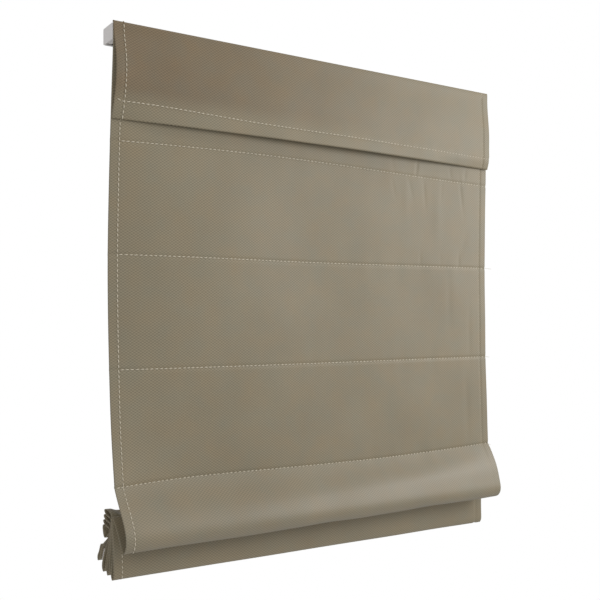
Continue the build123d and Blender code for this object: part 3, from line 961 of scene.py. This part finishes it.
@dataclass
class SideHems:
    """Folded side edges: where their stitches run and how the stitches pull the cloth in."""

    left: float = -385.6
    right: float = 383.5
    width: float = 12.5
    groove_left: float = 0.35
    groove_right: float = 1.2
    groove_width: float = 2.2
    lifts: Pair = (0.4, -0.9)

    def pull(self, surface: Surface) -> Array:
        """Height of the cloth over its smooth form: minus a bell at each line of stitches.

        Args:
            surface: Cloth that is sewn.

        Returns:
            Heights in millimetres.
        """
        left = bell(surface.across, self.left, self.groove_width) * self.groove_left
        right = bell(surface.across, self.right, self.groove_width) * self.groove_right
        return -left - right

    def strip(self, surface: Surface, side: int) -> Surface:
        """Turned-in layer behind one edge of a cloth.

        Args:
            surface: The cloth.
            side: Minus one for the left edge and one for the right.

        Returns:
            The layer's surface.
        """
        inner = HALF_WIDTH - self.width
        keep = surface.across[0] * side >= inner
        points = surface.behind().points[:, keep]
        return Surface(points, surface.across[:, keep], surface.along[:, keep])

    def sew(self, dresser: Dresser, name: str, surface: Surface, lifts: tuple[float, ...], body: Body,
            shift: float = 0.0) -> None:
        """Sews rows of stitches down the hems of a cloth, the left one first.

        Args:
            dresser: Adds the pieces.
            name: Start of the rows' names.
            surface: Cloth that they run down.
            lifts: Heights over the cloth at the left and the right, or only at the left.
            body: Body that they ride on.
            shift: How much further in the left row lies.
        """
        for side, x, lift in zip(("left", "right"), (self.left + shift, self.right), lifts):
            dresser.stitches(f"{name}_{side}_stitches", surface.line_down(x, lift), body)


HEMS = SideHems()
CREASED = cloth_columns(creased=120.0)


@dataclass
class Valance:
    """Free flap in front of the top, bowed forward, with a turned-up hem."""

    stations: tuple[float, ...] = (-400.0, -330.0, -200.0, 0.0, 400.0)
    top: Outline = ((3.4, 0.4), (2.2, -1.7), (0.6, -1.5), (-0.3, 0.6))
    fronts: tuple[Outline, ...] = (
        ((-1.2, 10.0), (-9.0, 42.0), (-12.6, 76.0), (-6.6, 110.0), (3.2, 136.0), (8.6, 147.0)),
        ((-0.8, 10.0), (-5.4, 42.0), (-8.0, 76.0), (-5.6, 110.0), (-2.0, 136.0), (0.0, 147.6)),
        ((-0.5, 10.0), (-2.4, 42.0), (-4.4, 76.0), (-4.8, 110.0), (-6.0, 136.0), (-6.0, 148.4)),
        ((-0.4, 10.0), (-1.4, 42.0), (-3.0, 76.0), (-4.4, 110.0), (-7.2, 136.0), (-8.2, 149.5)),
        ((-0.6, 10.0), (-2.8, 45.0), (-5.2, 85.0), (-5.2, 118.0), (-4.0, 141.0), (0.4, 155.0)),
    )
    row_spacing: float = 3.0
    bend_point: int = 2
    bend_rows: Pair = (0.6, 4.0)
    hem_left: float = 28.0
    hem_right: float = 22.0
    hem_change: Pair = (-400.0, -100.0)
    hem_rise: float = 5.5
    hem_rise_from: float = -402.0
    hem_groove: float = 0.5
    hem_groove_width: float = 2.2
    hem_overlap: float = 1.5
    hem_ends: Pair = (-398.0, 399.0)
    side_range: Pair = (8.0, 20.0)
    uneven: Waves = Waves(0.7, 6, 240.0, 11)
    uneven_range: Pair = (10.0, 60.0)
    pucker: Waves = Waves(0.3, 12, 45.0, 12)
    pucker_range: Pair = (-200.0, 300.0)
    pucker_reach: float = 16.0
    stitch_lift: float = 0.5
    stitch_sink: float = 1.15
    left_shift: float = 2.2

    def build(self, dresser: Dresser) -> None:
        """Builds the flap, its hem layer and its stitches.

        Args:
            dresser: Adds the pieces.
        """
        outlines = tuple(self.top + front for front in self.fronts)
        cloth = ClothLine(self.stations, outlines)
        surface = cloth.surface(CREASED, self.row_spacing, (self.bend_point,), *self.bend_rows)
        x, s = surface.across, surface.along
        wider = (self.hem_left - self.hem_right) * (1 - ramp(x[0], *self.hem_change))
        hem = s[-1] - (self.hem_right + wider)
        hem = hem - self.hem_rise * (1 - ramp(x[0], self.hem_rise_from, HEMS.left))
        near_hem = ramp(x, *self.pucker_range) * np.exp(-np.abs(s - hem) / self.pucker_reach)
        surface = surface.raised(
            HEMS.pull(surface) * ramp(s, *self.side_range)
            - self.hem_groove * bell(s, hem, self.hem_groove_width)
            + self.uneven.over(x, s) * ramp(s, *self.uneven_range)
            + self.pucker.over(x, s) * near_hem
        )
        piece = dresser.cloth("valance_cloth", surface, finish=Finishes.VALANCE)
        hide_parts("valance")
        dresser.ride(piece, Body.HEAD)
        first = int(np.argmax(s.mean(1) > hem.mean() - self.hem_overlap))
        turned = surface.rows(first, len(s) - 1).behind()
        layer = dresser.cloth("valance_hem", turned, s.mean() * 2, Finishes.VALANCE)
        dresser.ride(layer, Body.HEAD)
        row = surface.line_across(hem, sunk(x[0], self.stitch_lift, self.stitch_sink))
        dresser.stitches("valance_hem_stitches", part_of_line(row, *self.hem_ends), Body.HEAD)
        HEMS.sew(dresser, "valance", surface, HEMS.lifts, Body.HEAD, self.left_shift)


@dataclass
class Wrinkle:
    """Short crease in the panel: its place, height, half width across and down, and slant."""

    x: float
    s: float
    height: float
    across: float = 4.0
    down: float = 22.0
    slant: float = 0.0

    def over(self, x: Array, s: Array) -> Array:
        """Heights of the crease: a bell across, moved sideways by the slant, times a bell down."""
        moved = x - self.slant * (s - self.s)
        return self.height * bell(moved, self.x, self.across) * bell(s, self.s, self.down)


@dataclass
class Panel:
    """Main panel from the top tape to the fourth seam, with soft wrinkles and side hems."""

    stations: tuple[float, ...] = (-400.0, -360.0, -60.0, 230.0, 400.0)
    outlines: tuple[Outline, ...] = (
        ((0.7, 0.0), (0.7, 23.5), (7.0, 100.0), (14.4, 179.0), (20.5, 266.0), (24.0, 354.0),
         (23.0, 444.0), (18.0, 533.0), (9.0, 627.0), (-5.0, 711.0)),
        ((0.7, 0.0), (0.7, 23.5), (4.5, 100.0), (10.6, 178.5), (14.2, 266.0), (16.2, 354.2),
         (15.0, 444.0), (12.5, 533.2), (8.5, 627.0), (1.0, 710.8)),
        ((0.7, 0.0), (0.7, 23.5), (4.0, 98.0), (8.5, 176.5), (11.0, 266.0), (12.3, 356.6),
         (11.2, 446.0), (9.3, 536.4), (6.8, 627.0), (3.2, 715.4)),
        ((0.7, 0.0), (0.7, 23.5), (3.0, 99.0), (6.4, 184.0), (8.0, 270.0), (8.6, 357.0),
         (7.7, 447.0), (6.1, 538.0), (3.5, 628.0), (0.6, 719.2)),
        ((0.7, 0.0), (0.7, 23.5), (2.5, 100.0), (5.2, 188.5), (6.2, 272.0), (6.4, 357.0),
         (5.6, 448.0), (4.3, 539.0), (1.5, 628.0), (-2.0, 715.4)),
    )
    row_spacing: float = 6.0
    seam_points: tuple[int, ...] = (3, 5, 7, 9)
    seam_depth: float = 0.85
    seam_width: float = 3.2
    seam_starts: tuple[float, ...] = (HEMS.left, HEMS.left + 1, HEMS.left + 1, -398.0)
    seam_end: float = 398.0
    stitch_lift: float = 0.55
    stitch_sink: float = 0.95
    hem_from: float = 26.0
    pocket_gap: float = 1.5 * CLOTH
    uneven: Waves = Waves(0.9, 8, 300.0, 21)
    uneven_range: Pair = (20.0, 120.0)
    gather: Waves = Waves(1.0, 14, 60.0, 61)
    gather_stretch: float = 0.2
    pucker: Pair = (0.16, 0.46)
    pucker_range: Pair = (-120.0, 260.0)
    pucker_reach: float = 24.0
    wrinkles: tuple[Wrinkle, ...] = (
        Wrinkle(155, 166, -0.3, 4, 16, 0.3), Wrinkle(215, 168, -1.2, 3, 16, -0.1),
        Wrinkle(302, 170, -0.5, 3.5, 14, 0.2), Wrinkle(342, 172, -0.8, 3.5, 12, -0.1),
        Wrinkle(236, 214, -0.6, 3.4, 26, 0.1), Wrinkle(332, 210, -0.8, 3.2, 30, 0.16),
        Wrinkle(280, 208, -0.35, 3, 20, -0.08), Wrinkle(190, 224, 0.5, 9, 40),
        Wrinkle(200, 206, -0.4, 3.2, 18, 0.35), Wrinkle(158, 208, -0.35, 3, 18, 0.25),
        Wrinkle(226, 346, -0.6, 3, 14, -0.1), Wrinkle(327, 344, -0.9, 3, 14, -0.05),
        Wrinkle(336, 322, -0.5, 7, 34, -0.35), Wrinkle(278, 346, -0.3, 3, 12), Wrinkle(270, 250, 0.7, 12, 60),
        Wrinkle(300, 420, -0.5, 8, 50), Wrinkle(355, 500, -0.6, 6, 60), Wrinkle(345, 640, -0.7, 8, 70),
    )

    def build(self, dresser: Dresser) -> tuple[list[Two], Surface]:
        """Builds the panel, its hem layers and its stitches.

        Args:
            dresser: Adds the pieces.

        Returns:
            Points and normals behind each seam, which the rod pockets start from, and the panel's
            surface, which the front fold goes on from.
        """
        smooth = ClothLine(self.stations, self.outlines).surface(CREASED, self.row_spacing, self.seam_points)
        x, s = smooth.across, smooth.along
        control = np.array(self.outlines)[:, list(self.seam_points), 1]
        side = spline_weights(np.array(self.stations), x[0])
        drops = (TOP_Z * MM - smooth.points[..., 2]) / MM
        seams = [np.array([np.interp(d, column, along) for d, column, along in zip(row, drops.T, s.T)])
                 for row in (side @ control).T]
        height = HEMS.pull(smooth) + self.uneven.over(x, s) * ramp(s, *self.uneven_range)
        gathers = self.pucker[0] + (self.pucker[1] - self.pucker[0]) * ramp(x, *self.pucker_range)
        for number, seam in enumerate(seams):
            height = height - self.seam_depth * bell(s, seam, self.seam_width)
            near = np.exp(-np.abs(s - seam) / self.pucker_reach)
            waves = replace(self.gather, seed=self.gather.seed + number)
            height = height + gathers * near * waves.over(x, self.gather_stretch * s)
        for crease in self.wrinkles:
            height = height + crease.over(x, s)
        surface = smooth.raised(height)
        piece = dresser.cloth("panel_cloth", surface)
        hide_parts("face_fabric")
        dresser.ride(piece, Body.HEAD)
        below = surface.rows(int(np.argmax(s.mean(1) > self.hem_from)), len(s) - 1)
        for side_name, way in (("left", -1), ("right", 1)):
            layer = dresser.cloth(f"panel_hem_{side_name}", HEMS.strip(below, way))
            dresser.ride(layer, Body.HEAD)
        lift = sunk(x[0], self.stitch_lift, self.stitch_sink)
        for number, (seam, start) in enumerate(zip(seams, self.seam_starts), start=1):
            row = part_of_line(surface.line_across(seam, lift), start, self.seam_end)
            dresser.stitches(f"seam_stitches_{number}", row, Body.HEAD)
        HEMS.sew(dresser, "panel", surface, HEMS.lifts, Body.HEAD)
        return [surface.line_across(seam, -self.pocket_gap) for seam in seams], surface


@dataclass
class FrontFold:
    """Soft roll of cloth from the fourth seam, out and under and back up to the first raised rod."""

    stations: tuple[float, ...] = (-400.0, 0.0, 400.0)
    outlines: tuple[Outline, ...] = (
        ((-5.0, 711.0), (-11.3, 720.0), (-19.4, 730.6), (-30.4, 743.6), (-41.4, 757.2), (-48.8, 768.8),
         (-52.0, 781.0), (-49.6, 793.6), (-40.0, 802.0), (-26.0, 789.5), (-11.5, 772.0), (-1.0, 761.5),
         (7.6, 756.4)),
        ((-3.4, 713.2), (-8.2, 720.8), (-14.6, 731.2), (-24.2, 745.8), (-34.6, 761.6), (-42.6, 776.6),
         (-46.6, 791.4), (-42.6, 804.6), (-31.0, 812.0), (-18.0, 803.5), (-5.7, 789.2), (3.5, 779.2),
         (10.6, 771.4)),
        ((-2.0, 715.4), (-6.4, 721.5), (-13.2, 732.0), (-21.2, 746.0), (-29.0, 764.5), (-34.8, 785.5),
         (-37.6, 801.5), (-33.5, 814.0), (-22.5, 821.0), (-10.0, 816.0), (0.0, 806.5), (8.0, 797.0),
         (13.6, 786.4)),
    )
    row_spacing: float = 3.0
    bend_points: tuple[int, ...] = (0, 6)
    bend_rows: Pair = (1.3, 5.0)
    split: int = 8
    right_ease: float = 0.75
    seam_reach: float = 60.0
    uneven: Waves = Waves(0.9, 6, 280.0, 31)
    uneven_ranges: tuple[Pair, Pair] = ((2.0, 40.0), (120.0, 160.0))
    lifts: Pair = (0.25, -1.0)

    def build(self, dresser: Dresser, panel: Surface) -> None:
        """Builds the outer and inner legs and the stitches along the outer leg's edges.

        Args:
            dresser: Adds the pieces.
            panel: Surface whose last row the fold starts at.
        """
        cloth = ClothLine(self.stations, self.outlines)
        surface = cloth.surface(CREASED, self.row_spacing, self.bend_points, *self.bend_rows)
        x, s = surface.across, surface.along
        chord = np.linalg.norm(np.diff(np.array(self.outlines), axis=1), axis=-1).mean(0)
        cut = int(np.argmin(np.abs(s.mean(1) - chord[: self.split].sum())))
        wave = self.uneven.over(x, s) * window(s, *self.uneven_ranges)
        surface = surface.raised(HEMS.pull(surface) * (1 - self.right_ease * (x > 0)) + wave)
        gap = panel.points[-1] - surface.points[0]
        surface.points[:] += (1 - ramp(s, 0.0, self.seam_reach))[..., None] * gap
        outer, inner = surface.rows(0, cut), surface.rows(cut, len(s) - 1)
        front = dresser.cloth("front_fold_outer", outer, PANEL_LENGTH, Finishes.ROLL)
        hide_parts("front_fold")
        dresser.ride(front, Body.HEAD)
        back = dresser.cloth("front_fold_inner", inner, PANEL_LENGTH)
        start = STACK.level(self.outlines[-1][self.split][1] - STACK.skew[1])
        end = STACK.level(STACK.raised_first[1])
        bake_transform(back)
        HEMS.sew(dresser, "fold", outer, self.lifts, Body.HEAD)


@dataclass
class HangingLoop:
    """Loop of cloth that hangs from a raised seam to the next one."""

    number: int
    outline: Outline
    bottom: int
    lean: Pair
    over_seam: float = 0.6
    next_gap: float = 0.5
    columns: Triple = (3.0, 9.0, 40.0)
    row_spacing: float = 3.5
    bend_rows: Pair = (1.2, 8.0)
    hang_range: Pair = (5.0, 60.0)
    hang_end: Pair = (40.0, 5.0)
    uneven: Waves = Waves(0.6, 5, 120.0, 40)
    calm: float = 0.3
    end_reach: float = 60.0
    lifts: tuple[float, ...] = (0.2,)

    def build(self, dresser: Dresser) -> None:
        """Builds the loop's outer leg, its inner leg and the stitches on its left hem.

        Args:
            dresser: Adds the pieces.
        """
        ends = STACK.raised(self.number - 1)
        top = ends[0][1]
        last = (STACK.raised_step[0] - self.next_gap, STACK.raised_step[1] - self.over_seam)
        points = np.array(((0.0, -self.over_seam),) + self.outline + (last,))
        line = ClothLine.between(points, ends)
        columns = cloth_columns(*self.columns)
        surface = line.surface(columns, self.row_spacing, (self.bottom,), *self.bend_rows)
        x, s = surface.across, surface.along
        knots = length_along(points)
        cut = int(np.argmin(np.abs(s.mean(1) - knots[self.bottom + 1])))
        hang = window(s, self.hang_range, (knots[-1] - self.hang_end[0], knots[-1] - self.hang_end[1]))
        near_end = self.calm + (1 - self.calm) * np.exp(-(x + HALF_WIDTH) / self.end_reach)
        waves = replace(self.uneven, seed=self.uneven.seed + self.number)
        wave = waves.over(x, s) * hang * near_end
        surface = surface.raised(wave + HEMS.pull(surface) * (x > 0) * hang)
        STACK.lean(surface, top, self.lean)
        upper, lower = FOLDS[self.number - 1], FOLDS[self.number]
        start = PANEL_LENGTH + LOOP_LENGTH * self.number
        outer = dresser.cloth(f"loop_{self.number}_outer", surface.rows(0, cut), start)
        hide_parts(f"hanging_loop_{self.number}")
        dresser.ride(outer, upper)
        inner = dresser.cloth(f"loop_{self.number}_inner", surface.rows(cut, len(s) - 1), start)
        low = STACK.level(top + points[self.bottom][1])
        high = STACK.level(top + points[-1][1])
        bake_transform(inner)
        HEMS.sew(dresser, f"loop_{self.number}", surface.rows(0, cut), self.lifts, upper)


@dataclass
class RodPocket:
    """Sewn pocket behind a seam: two layers of cloth that open round the rod at its back."""

    outline: Outline = (
        (0.0, -0.7), (10.0, -0.8), (20.0, -1.2), (25.0, -2.6), (27.6, -2.9), (29.6, -1.9), (30.3, 0.0),
        (29.6, 1.9), (27.6, 2.9), (25.0, 2.6), (20.0, 1.2), (10.0, 0.8), (0.0, 0.7),
    )
    inset: float = 16.0
    columns: Triple = (2.5, 9.0, 40.0)
    row_spacing: float = 2.2
    start_step: float = 40.0
    bend_reach: float = 20.0
    mouth_depth: float = 30.3
    limp_range: Pair = (20.0, 20.0 / 3)
    limp_open: float = 4.6
    limp_depth: float = 30.0
    limp_lift: float = 4.0
    limp_step: float = 0.6
    limp_back: float = 0.6
    limp_sag: float = 0.8
    sag_depth: float = 31.0
    sag_power: int = 6
    first_raised: int = 5
    last: int = 8

    def hang_limp(self, surface: Surface, straight: Array, number: int) -> None:
        """Opens the loose ends of a raised pocket and lets them droop a little, each its own way.

        Args:
            surface: Pocket to move.
            straight: Points of its seam, one for each column.
            number: Number of the rod.
        """
        to_edge = HALF_WIDTH - np.abs(surface.across[0])
        loose = ramp(to_edge, *self.limp_range)
        reach = (surface.points[..., 1] - straight[:, 1]) / MM
        height = surface.points[..., 2] - straight[:, 2]
        bulge = np.sqrt(np.sin(np.clip(reach / self.mouth_depth, 0, 1) * math.pi))
        mouth = np.sign(height) * self.limp_open * MM * bulge
        if number == self.last:
            deep = np.clip(reach, 0, self.sag_depth)
            sag = -self.limp_sag * deep * (1 - (deep / self.sag_depth) ** self.sag_power) * MM
            mouth = np.where(height < 0, np.minimum(mouth, sag), mouth)
        step = self.limp_step * (number - self.first_raised)
        swing = MM * loose * reach / self.limp_depth
        surface.points[..., 2] += (mouth - height) * loose
        surface.points[..., 2] += (self.limp_lift - step) * swing
        surface.points[..., 1] += step * self.limp_back * swing

    def build(self, dresser: Dresser, number: int, ends: Two, inset: float, body: Body,
              seam: Two | None = None) -> None:
        """Builds one pocket between the ends of its seam.

        Args:
            dresser: Adds the piece.
            number: Number of the rod.
            ends: Depth and drop of the seam at the cloth's left and right edges.
            inset: How far the pocket stops short of those edges.
            body: Body that it rides on.
            seam: Points and normals where the cloth's seam bends away from a straight line.
        """
        columns = np.clip(cloth_columns(*self.columns), inset - HALF_WIDTH, HALF_WIDTH - inset)
        columns = np.unique(columns)
        surface = ClothLine.between(np.array(self.outline), ends).surface(columns, self.row_spacing)
        share = (columns + HALF_WIDTH) / (2 * HALF_WIDTH)
        straight = spot(columns, *(ends[0] + share[:, None] * (ends[1] - ends[0])).T)
        if seam is None:
            self.hang_limp(surface, straight, number)
        else:
            places = np.stack([np.interp(columns * MM, seam[0][:, 0], line) for line in seam[0].T], axis=-1)
            reach = (surface.points[..., 1] - straight[:, 1]) / MM
            surface.points += (1 - ramp(reach, 0.0, self.bend_reach))[..., None] * (places - straight)
        piece = dresser.cloth(f"rod_pocket_{number}", surface, self.start_step * number)
        dresser.ride(piece, body)


@dataclass
class BottomPanel:
    """Last panel of cloth behind the stack, with a hem that holds the bottom bar."""

    outline: Outline = (
        (0.0, -0.6), (0.0, 1.8), (2.2, 5.0), (8.1, 11.2), (19.8, 19.4), (28.8, 25.6), (35.3, 32.4),
        (41.0, 44.2), (46.6, 56.3), (49.6, 57.6), (51.9, 54.0), (46.2, 42.0), (40.6, 30.2), (37.0, 27.4),
        (34.6, 28.6),
    )
    columns: Triple = (3.0, 8.0, 40.0)
    row_spacing: float = 2.4
    lean: Pair = (4.0, 4.0)
    uneven: Waves = Waves(0.4, 5, 150.0, 51)
    uneven_ranges: tuple[Pair, Pair] = ((4.0, 30.0), (60.0, 80.0))
    start: float = PANEL_LENGTH + 700.0

    def build(self, dresser: Dresser) -> None:
        """Builds the panel and the hem round its bar as one strip of cloth.

        Args:
            dresser: Adds the piece.
        """
        ends = STACK.raised(len(FOLDS) - 1)
        line = ClothLine.between(np.array(self.outline), ends)
        surface = line.surface(cloth_columns(*self.columns), self.row_spacing)
        x, s = surface.across, surface.along
        surface = surface.raised(self.uneven.over(x, s) * window(s, *self.uneven_ranges))
        STACK.lean(surface, ends[0][1], self.lean)
        piece = dresser.cloth("bottom_panel_cloth", surface, self.start)
        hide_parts("bottom_panel")
        dresser.ride(piece, Body.FOLD_4)


@dataclass
class LiftCords:
    """Three cords from their spools down through every ring to a knot at the last rod."""

    places: tuple[tuple[str, float], ...] = (("left", -300.0), ("centre", 0.0), ("right", 300.0))
    radius: float = 0.6
    exit_depth: float = 31.7
    exit_drop: float = 13.5
    ring_reach: float = 35.8
    rings_each: int = 8
    knot_radius: float = 1.5
    knot_rings: int = 9
    knot_sides: int = 12
    knot_pole: float = 0.05
    knot_ridge: float = 0.14
    knot_twist: tuple[int, int] = (3, 4)
    knot_drop: float = 3.5

    def ring(self, ends: Two, x: float) -> Array:
        """Centre of the ring behind a seam.

        Args:
            ends: Depth and drop of the seam at the cloth's left and right edges.
            x: Place across in millimetres.

        Returns:
            The centre in metres.
        """
        share = (x + HALF_WIDTH) / (2 * HALF_WIDTH)
        depth, drop = ends[0] + (ends[1] - ends[0]) * share
        return spot(np.array(x), np.array(depth + self.ring_reach), np.array(drop))

    def span(self, dresser: Dresser, name: str, path: Array) -> Object:
        """Stretch of cord along a path, as a round tube with close rings.

        Args:
            dresser: Holds the finish.
            name: Name of the piece.
            path: Points that it runs through, in metres.

        Returns:
            The new object.
        """
        share = np.linspace(0, len(path) - 1, self.rings_each * (len(path) - 1) + 1)
        fine = np.stack([np.interp(share, np.arange(len(path)), column) for column in path.T], axis=-1)
        piece = tube_object(name, fine, self.radius, dresser.finishes.of(Finishes.CORD))
        return piece

    def build(self, dresser: Dresser) -> None:
        """Builds each cord as one stretch for every pair of bodies that it runs between.

        Args:
            dresser: Adds the pieces.
        """
        for name, x in self.places:
            start = spot(np.array(x), np.array(self.exit_depth), np.array(self.exit_drop))
            fixed = [self.ring(STACK.fixed(number), x) for number in range(len(FOLDS))]
            raised = [self.ring(STACK.raised(number), x) for number in range(len(FOLDS))]
            mean_y = (raised[0][1] + raised[-1][1]) / 2
            for point in raised:
                point[1] = mean_y
            head = self.span(dresser, f"lift_cord_{name}_upper", np.array([start] + fixed))
            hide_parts(f"lift_cord_{name}")
            dresser.ride(head, Body.HEAD)
            stops = [fixed[-1]] + raised
            for number, (high, low) in enumerate(zip(stops, stops[1:]), start=1):
                piece = self.span(dresser, f"lift_cord_{name}_{number}", np.array([high, low]))
                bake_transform(piece)
            self.knot(dresser, f"cord_knot_{name}", raised[-1])

    def knot(self, dresser: Dresser, name: str, anchor: Array) -> None:
        """Overhand knot: a ball with a twisted ridge, whose radius grows with a cosine of the twist.

        Args:
            dresser: Adds the piece.
            name: Name of the piece.
            anchor: Place of the anchor above it, in metres.
        """
        turns = np.linspace(0, 2 * math.pi, self.knot_sides + 1)[:-1]
        tilts = np.linspace(self.knot_pole, math.pi - self.knot_pole, self.knot_rings)
        turn, tilt = np.meshgrid(turns, tilts)
        twist = self.knot_twist[0] * turn + self.knot_twist[1] * tilt
        radius = self.knot_radius * (1 + self.knot_ridge * np.cos(twist)) * MM
        ball = np.stack([np.sin(tilt) * np.cos(turn), np.sin(tilt) * np.sin(turn), np.cos(tilt)], axis=-1)
        points = anchor - np.array([0, 0, self.knot_drop * MM]) + ball * radius[..., None]
        uv = np.stack([turn, tilt], axis=-1).reshape(-1, 2) * self.knot_radius * MM
        faces = tube_faces(*turn.shape)
        piece = mesh_object(name, points.reshape(-1, 3), faces, uv, dresser.finishes.of(Finishes.CORD))
        dresser.ride(piece, Body.FOLD_4)


@dataclass
class ThreadTails:
    """Loose ends of thread at the right ends of the seams."""

    tails: tuple[tuple[int, float], ...] = ((2, 17.0), (3, 9.0), (4, 11.0))
    radius: float = 0.28
    rings: int = 10
    sides: int = 6
    hidden: float = 2.0
    ahead: float = 1.0
    curl: float = 1.5
    curl_turn: float = 4.0
    droop: float = 1.2

    def build(self, dresser: Dresser) -> None:
        """Builds each tail as a thin tube that runs out past the edge and droops.

        Args:
            dresser: Adds the pieces.
        """
        thread = dresser.finishes.of(Finishes.THREAD)
        t = np.linspace(0, 1, self.rings)
        for number, length in self.tails:
            depth, drop = STACK.fixed(number - 1)[1]
            x = HALF_WIDTH - self.hidden + (length + self.hidden) * t
            wander = depth - self.ahead + self.curl * np.sin(self.curl_turn * t)
            path = spot(x, wander, drop + self.droop * t**2)
            piece = tube_object(f"thread_tail_{number}", path, self.radius, thread, self.sides)
            dresser.ride(piece, Body.HEAD)


@dataclass
class Hardware:
    """Solid pieces that keep their shape and take a finish from their slot."""

    def build(self, finishes: Finishes) -> None:
        """Gives every shown solid the material of its slot.

        Args:
            finishes: Materials of the blind.
        """
        slots = {row["node"]: row["material_slot"] for row in frame["record"]["subparts"]}
        for name, piece in frame["nodes"].items():
            material = finishes.for_slot(slots[name])
            piece.data.materials.clear()
            piece.data.materials.append(material)
            LOG.info("%s has %s", name, material.name)


@dataclass
class Studio:
    """Pale floor far below the blind, soft light, white background and the camera."""

    floor_z: float = -2.0
    floor_half: float = 1.98
    floor_points: int = 9
    floor_grey: float = 0.86
    floor_rough: float = 0.9
    sensor_mm: float = 36.0
    camera_place: Triple = (-0.8484, -1.2534, -0.4330)
    camera_turn: float = 33.3
    focal_px: float = 821.0
    centre_drop_px: float = 5.0
    image_px: float = 600.0
    ambient: float = 0.48
    lamps: tuple[tuple[str, Triple, float, float], ...] = (
        ("key_lamp", (1.60, -1.40, 0.23), 0.9, 16.5),
        ("side_lamp", (1.93, -1.08, -0.22), 0.9, 8.5),
        ("fill_lamp", (-1.39, -1.71, -0.07), 0.9, 6.0),
        ("top_lamp", (0.0, -0.80, 1.62), 0.9, 8.0),
    )
    aim: Triple = (0.0, -0.05, -0.45)

    def build(self) -> None:
        """Builds the whole studio."""
        self.floor()
        self.world()
        for lamp in self.lamps:
            self.lamp(*lamp)
        self.camera()
        bpy.context.scene.view_settings.view_transform = "Standard"

    def floor(self) -> None:
        """Plain pale floor: a square grid with a matt finish."""
        reach = np.linspace(-self.floor_half, self.floor_half, self.floor_points)
        x, y = np.meshgrid(reach, -reach)
        points = np.stack([x, y, np.full_like(x, self.floor_z)], axis=-1).reshape(-1, 3)
        material = bpy.data.materials.new("pale_floor")
        material.use_nodes = True
        grey = (self.floor_grey, self.floor_grey, self.floor_grey, 1)
        shader = material.node_tree.nodes["Principled BSDF"]
        Wiring(material.node_tree).fill(shader, {"Base Color": grey, "Roughness": self.floor_rough})
        faces = grid_faces(np.arange(x.size).reshape(x.shape))
        piece = mesh_object("floor", points, faces, None, material)

    def world(self) -> None:
        """World that is white to the camera and through glass, and soft light elsewhere."""
        world = bpy.data.worlds.new("studio_white")
        bpy.context.scene.world = world
        world.use_nodes = True
        wire = Wiring(world.node_tree)
        back = world.node_tree.nodes["Background"]
        rays = wire.node("ShaderNodeLightPath")
        seen = wire.math("MAXIMUM", rays.outputs["Is Camera Ray"], rays.outputs["Is Transmission Ray"])
        strength = wire.math("MULTIPLY_ADD", seen, 1.0 - self.ambient, self.ambient)
        wire.fill(back, {"Color": (1, 1, 1, 1), "Strength": strength})

    def lamp(self, name: str, place: Triple, size: float, power: float) -> None:
        """Square soft lamp that points at the blind.

        Args:
            name: Name of the lamp.
            place: Where it stands, in metres.
            size: Length of its side in metres.
            power: Power in watts.
        """
        data = bpy.data.lights.new(name, "AREA")
        data.size = size
        data.energy = power
        way = np.array(self.aim) - np.array(place)
        turn = math.atan2(way[0], way[1])
        tilt = math.atan2(-way[2], math.hypot(way[0], way[1]))
        self.stand(name, data, place, (math.pi / 2 - tilt, 0, -turn))

    def camera(self) -> None:
        """Level camera at the left front."""
        name = "photo_camera"
        data = bpy.data.cameras.new(name)
        data.sensor_width = self.sensor_mm
        data.lens = self.focal_px / self.image_px * data.sensor_width
        data.shift_y = self.centre_drop_px / self.image_px
        turn = (math.pi / 2, 0, -math.radians(self.camera_turn))
        bpy.context.scene.camera = self.stand(name, data, self.camera_place, turn)

    @staticmethod
    def stand(name: str, data: ID, place: Triple, turn: Triple) -> Object:
        """Stands a lamp or the camera in the scene.

        Args:
            name: Name of the object.
            data: Its lamp or camera.
            place: Where it stands, in metres.
            turn: Its turns about X, Y and Z in radians.

        Returns:
            The new object.
        """
        thing = bpy.data.objects.new(name, data)
        bpy.context.scene.collection.objects.link(thing)
        thing.location = place
        thing.rotation_euler = turn
        return thing


LOOPS = (
    HangingLoop(
        number=1, bottom=5, lean=(-6.8, 4.0),
        outline=((-0.5, 21.6), (-1.6, 54.0), (-2.2, 80.0), (-0.5, 92.0), (3.6, 96.0), (7.6, 92.0),
                 (7.9, 81.0), (5.0, 55.0), (2.25, 32.4), (1.7, 21.6)),
    ),
    HangingLoop(
        number=2, bottom=6, lean=(1.0, 5.5),
        outline=((0.0, 16.2), (1.1, 27.0), (4.7, 50.4), (7.6, 72.0), (9.5, 81.0), (13.7, 86.0), (17.6, 82.0),
                 (16.6, 70.2), (9.5, 42.3), (3.8, 25.2), (1.7, 15.3)),
    ),
    HangingLoop(
        number=3, bottom=6, lean=(5.0, 5.5),
        outline=((0.0, 8.1), (1.8, 15.3), (8.5, 34.2), (16.6, 62.1), (19.8, 70.9), (26.6, 77.0), (31.7, 72.0),
                 (28.6, 58.0), (17.6, 35.1), (7.2, 20.7), (1.9, 10.8)),
    ),
)


def main() -> None:
    """Builds every piece in order and reports it."""
    logging.basicConfig(level=logging.INFO, format="%(name)s: %(message)s")
    finishes = Finishes()
    dresser = Dresser(finishes)
    Studio().build()
    LiftCords().build(dresser)
    Hardware().build(finishes)
    seams, panel = Panel().build(dresser)
    Valance().build(dresser)
    FrontFold().build(dresser, panel)
    for loop in LOOPS:
        loop.build(dresser)
    BottomPanel().build(dresser)
    pocket = RodPocket()
    for number, (seam, fold) in enumerate(zip(seams, FOLDS)):
        pocket.build(dresser, number + 1, STACK.fixed(number), pocket.inset, Body.HEAD, seam)
        pocket.build(dresser, number + pocket.first_raised, STACK.raised(number), 0.0, fold)
    ThreadTails().build(dresser)


if __name__ == "__main__":
    main()
